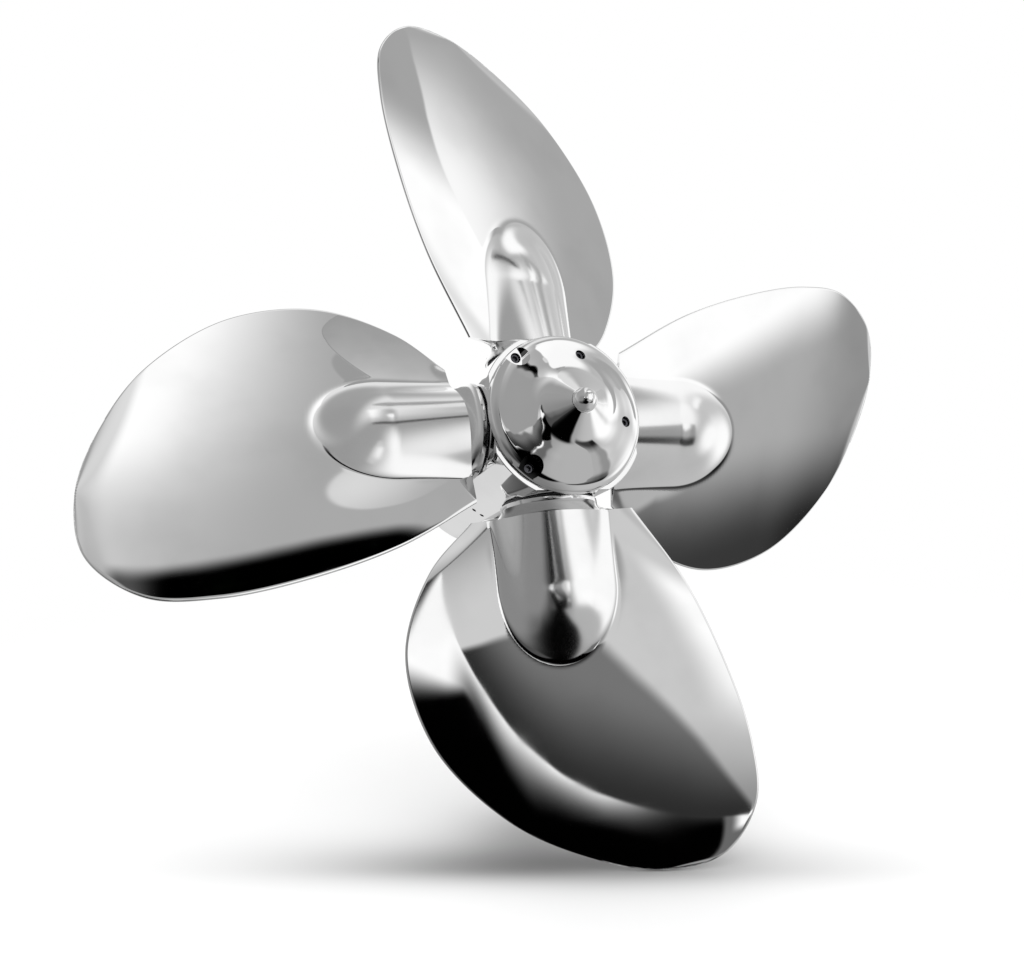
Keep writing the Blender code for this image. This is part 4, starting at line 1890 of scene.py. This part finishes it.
@dataclass(frozen=True)
class Studio:
    """The pale floor and the soft light that the metal reflects.

    Attributes:
        floor_normal: the floor's upward normal.
        floor_across: the direction across the picture, on the floor.
        floor_away: the direction away from the camera, on the floor.
        floor_size: the radius of the floor.
        floor_fade: the radius where the floor starts to fade out.
        floor_tone: how bright it is, from 0, black, to 1, white.
        shadows: the soft shadows painted into the floor's colour.
        fill: how bright the world is to a surface that isn't a mirror.
        glare: how bright a white wall is to a mirror.
        low_tone: the tone of the walls below.
        high_tone: the tone of the walls at the sides and above.
        cards: the large soft cards and flags, from the back one to the front one.
        windows: what each blade mirrors, in front of the cards.
    """

    floor_normal: Point3 = (-0.048, -0.346, 0.937)
    floor_across: Point3 = (0.911, -0.410, 0.0)
    floor_away: Point3 = (0.410, 0.911, 0.0)
    floor_size: float = 0.90
    floor_fade: float = 0.45
    floor_tone: float = 0.96
    shadows: tuple[Shadow, ...] = (
        Shadow(-0.070, 0.002, 0.098, 0.012, 0.020, 0.46),
        Shadow(-0.085, 0.045, 0.034, 0.028, 0.030, 0.24),
    )
    fill: float = 1.25
    glare: float = 1.08
    low_tone: float = 0.48
    high_tone: float = 0.60
    cards: tuple[Card, ...] = (
        Card(75.0, 25.0, 55.0, 40.0, 0.6, 0.74),
        Card(80.0, -40.0, 60.0, 36.0, 0.5, 0.70),
        Card(-32.0, -33.0, 46.0, 17.0, 0.3, 0.22),
        Card(-19.0, -24.0, 29.0, 31.0, 0.10, 0.03),
        Card(-54.0, -3.0, 24.0, 24.0, 0.6, 0.52),
        Card(26.0, 17.0, 52.0, 52.0, 0.05, 0.60),
        Card(66.0, 8.0, 30.0, 46.0, 0.5, 0.76),
        Card(28.0, 6.0, 23.0, 32.0, 0.3, 0.98),
        Card(30.0, -25.0, 26.0, 11.0, 0.3, 0.68),
        Card(74.0, -12.0, 13.0, 17.0, 0.5, 1.0),
        Card(36.0, 55.0, 24.0, 7.0, 0.3, 1.0),
        Card(60.0, 78.0, 40.0, 8.0, 0.5, 0.88),
        Card(84.0, 15.0, 13.0, 14.0, 0.3, 1.0),
        Card(180.0, 35.0, 50.0, 24.0, 0.5, 1.0),
        Card(-165.0, -21.0, 28.0, 14.0, 0.4, 0.84),
    )
    windows: tuple[Window, ...] = (
        Window(Station.TOP, Patterns.top, (1.11, 0.83), (0.47, 0.38), (1.09, 0.84), 3.0),
        Window(Station.RIGHT, Patterns.right, (0.07, 0.75), (0.32, 0.36), (0.07, 0.78), 5.2),
        Window(Station.BOTTOM, Patterns.bottom, (-0.09, 0.01), (0.31, 0.31), (-0.10, 0.02), 5.0, 0.05),
        Window(Station.LEFT, Patterns.left, (0.79, -0.25), (0.44, 0.30), (0.77, -0.19), 3.1, 0.04),
    )

    def light(self) -> None:
        """Make the world: white behind the object, and soft walls that the metal reflects."""
        world = bpy.data.worlds.new("studio")
        world.use_nodes = True
        world.node_tree.nodes.clear()
        world.cycles.sampling_method = "NONE"
        bpy.context.scene.world = world
        bpy.context.scene.view_settings.view_transform = "Standard"
        nodes = Nodes(world.node_tree)
        tone = self._walls(nodes, nodes.add("ShaderNodeTexCoord", output="Generated"))
        seen = nodes.add("ShaderNodeLightPath", output="Is Camera Ray")
        mirrored = seen.other("Is Glossy Ray")
        white = (1.0, 1.0, 1.0, 1.0)
        fill = self.fill - (self.fill - 1.0) * seen
        plain = nodes.add("ShaderNodeBackground", {}, {"Color": white, "Strength": fill})
        glare = self.glare * tone**SCREEN_GAMMA
        walls = nodes.add("ShaderNodeBackground", {}, {"Color": white, "Strength": glare})
        both = nodes.add("ShaderNodeMixShader", {}, {0: mirrored, 1: plain, 2: walls})
        nodes.place("ShaderNodeOutputWorld", {}, {"Surface": both})

    def _walls(self, nodes: Nodes, direction: Value) -> Value:
        """Lay the cards and the windows over the plain walls.

        Args:
            nodes: the world's nodes.
            direction: the direction looked in.

        Returns:
            The tone in that direction, from 0, black, to 1, white.
        """
        height = nodes.along(direction, Vector((0.0, 0.0, 1.0)))
        tone = self.low_tone + (self.high_tone - self.low_tone) * height.rise(-0.8, 0.1)
        for sheet in (*self.cards, *self.windows):
            tone = sheet.over(nodes, direction, tone)
        return tone.at_least(0.0)

    def lay_floor(self, lowest: Vector) -> None:
        """Lay the floor under the blades.

        Args:
            lowest: the lowest point of the blades.
        """
        normal = Vector(self.floor_normal).normalized()
        turn = Vector((0.0, 0.0, 1.0)).rotation_difference(normal)
        shape = bmesh.new()
        bmesh.ops.create_circle(shape, cap_ends=True, segments=96, radius=self.floor_size)
        mesh = bpy.data.meshes.new("floor")
        shape.to_mesh(mesh)
        shape.free()
        mesh.materials.append(new_material("pale_floor", self._floor_inputs))
        floor = link_object("floor", mesh)
        floor.matrix_world = Matrix.Translation(lowest) @ turn.to_matrix().to_4x4()
        floor.visible_glossy = False

    def _floor_inputs(self, nodes: Nodes, place: Value) -> dict[str, Value | float]:
        """Wire the floor, which fades out towards its edge, shows from above only, and carries painted
        shadows in its colour.

        Args:
            nodes: the floor's nodes.
            place: the place on the floor.

        Returns:
            What feeds each input of the shader, by the input's name.
        """
        across = nodes.along(place, Vector(self.floor_across))
        away = nodes.along(place, Vector(self.floor_away))
        # The shadows are painted shade: they darken the floor's colour.
        light: Value | float = 1.0
        for shadow in self.shadows:
            light = light * shadow.over(across, away)
        grey = {0: 0.0, 1: 0.0, 2: self.floor_tone * light**SCREEN_GAMMA}
        reach = nodes.add("ShaderNodeVectorMath", {"operation": "LENGTH"}, {0: place}, "Value")
        below = nodes.add("ShaderNodeNewGeometry", output="Backfacing")
        return {
            "Base Color": nodes.add("ShaderNodeCombineColor", {"mode": "HSV"}, grey),
            "Roughness": 0.9,
            "Specular IOR Level": 0.0,
            "Alpha": reach.rise(self.floor_size, self.floor_fade) * (1.0 - below),
        }


def lowest_point(normal: Vector) -> Vector:
    """Find the lowest point of the blades.

    Args:
        normal: the floor's upward normal.

    Returns:
        The point that lies lowest along the normal.
    """
    blades = [bpy.data.objects[f"polished_{station.body}"] for station in Station]
    points = [vertex.co.copy() for blade in blades for vertex in blade.data.vertices]
    return min(points, key=normal.dot)


def main() -> None:
    """Build the propeller's finished pieces and the studio round them."""
    logging.basicConfig(level=logging.INFO, format="%(name)s %(message)s")
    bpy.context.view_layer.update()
    studio = Studio()
    Viewpoint().place()
    studio.light()
    fasteners = Fasteners()
    Blade().dress()
    HubBody().dress(fasteners)
    AftCap().dress(fasteners)
    ForeEnd().dress(fasteners)
    fasteners.dress()
    studio.lay_floor(lowest_point(Vector(studio.floor_normal)))


if __name__ == "__main__":
    main()
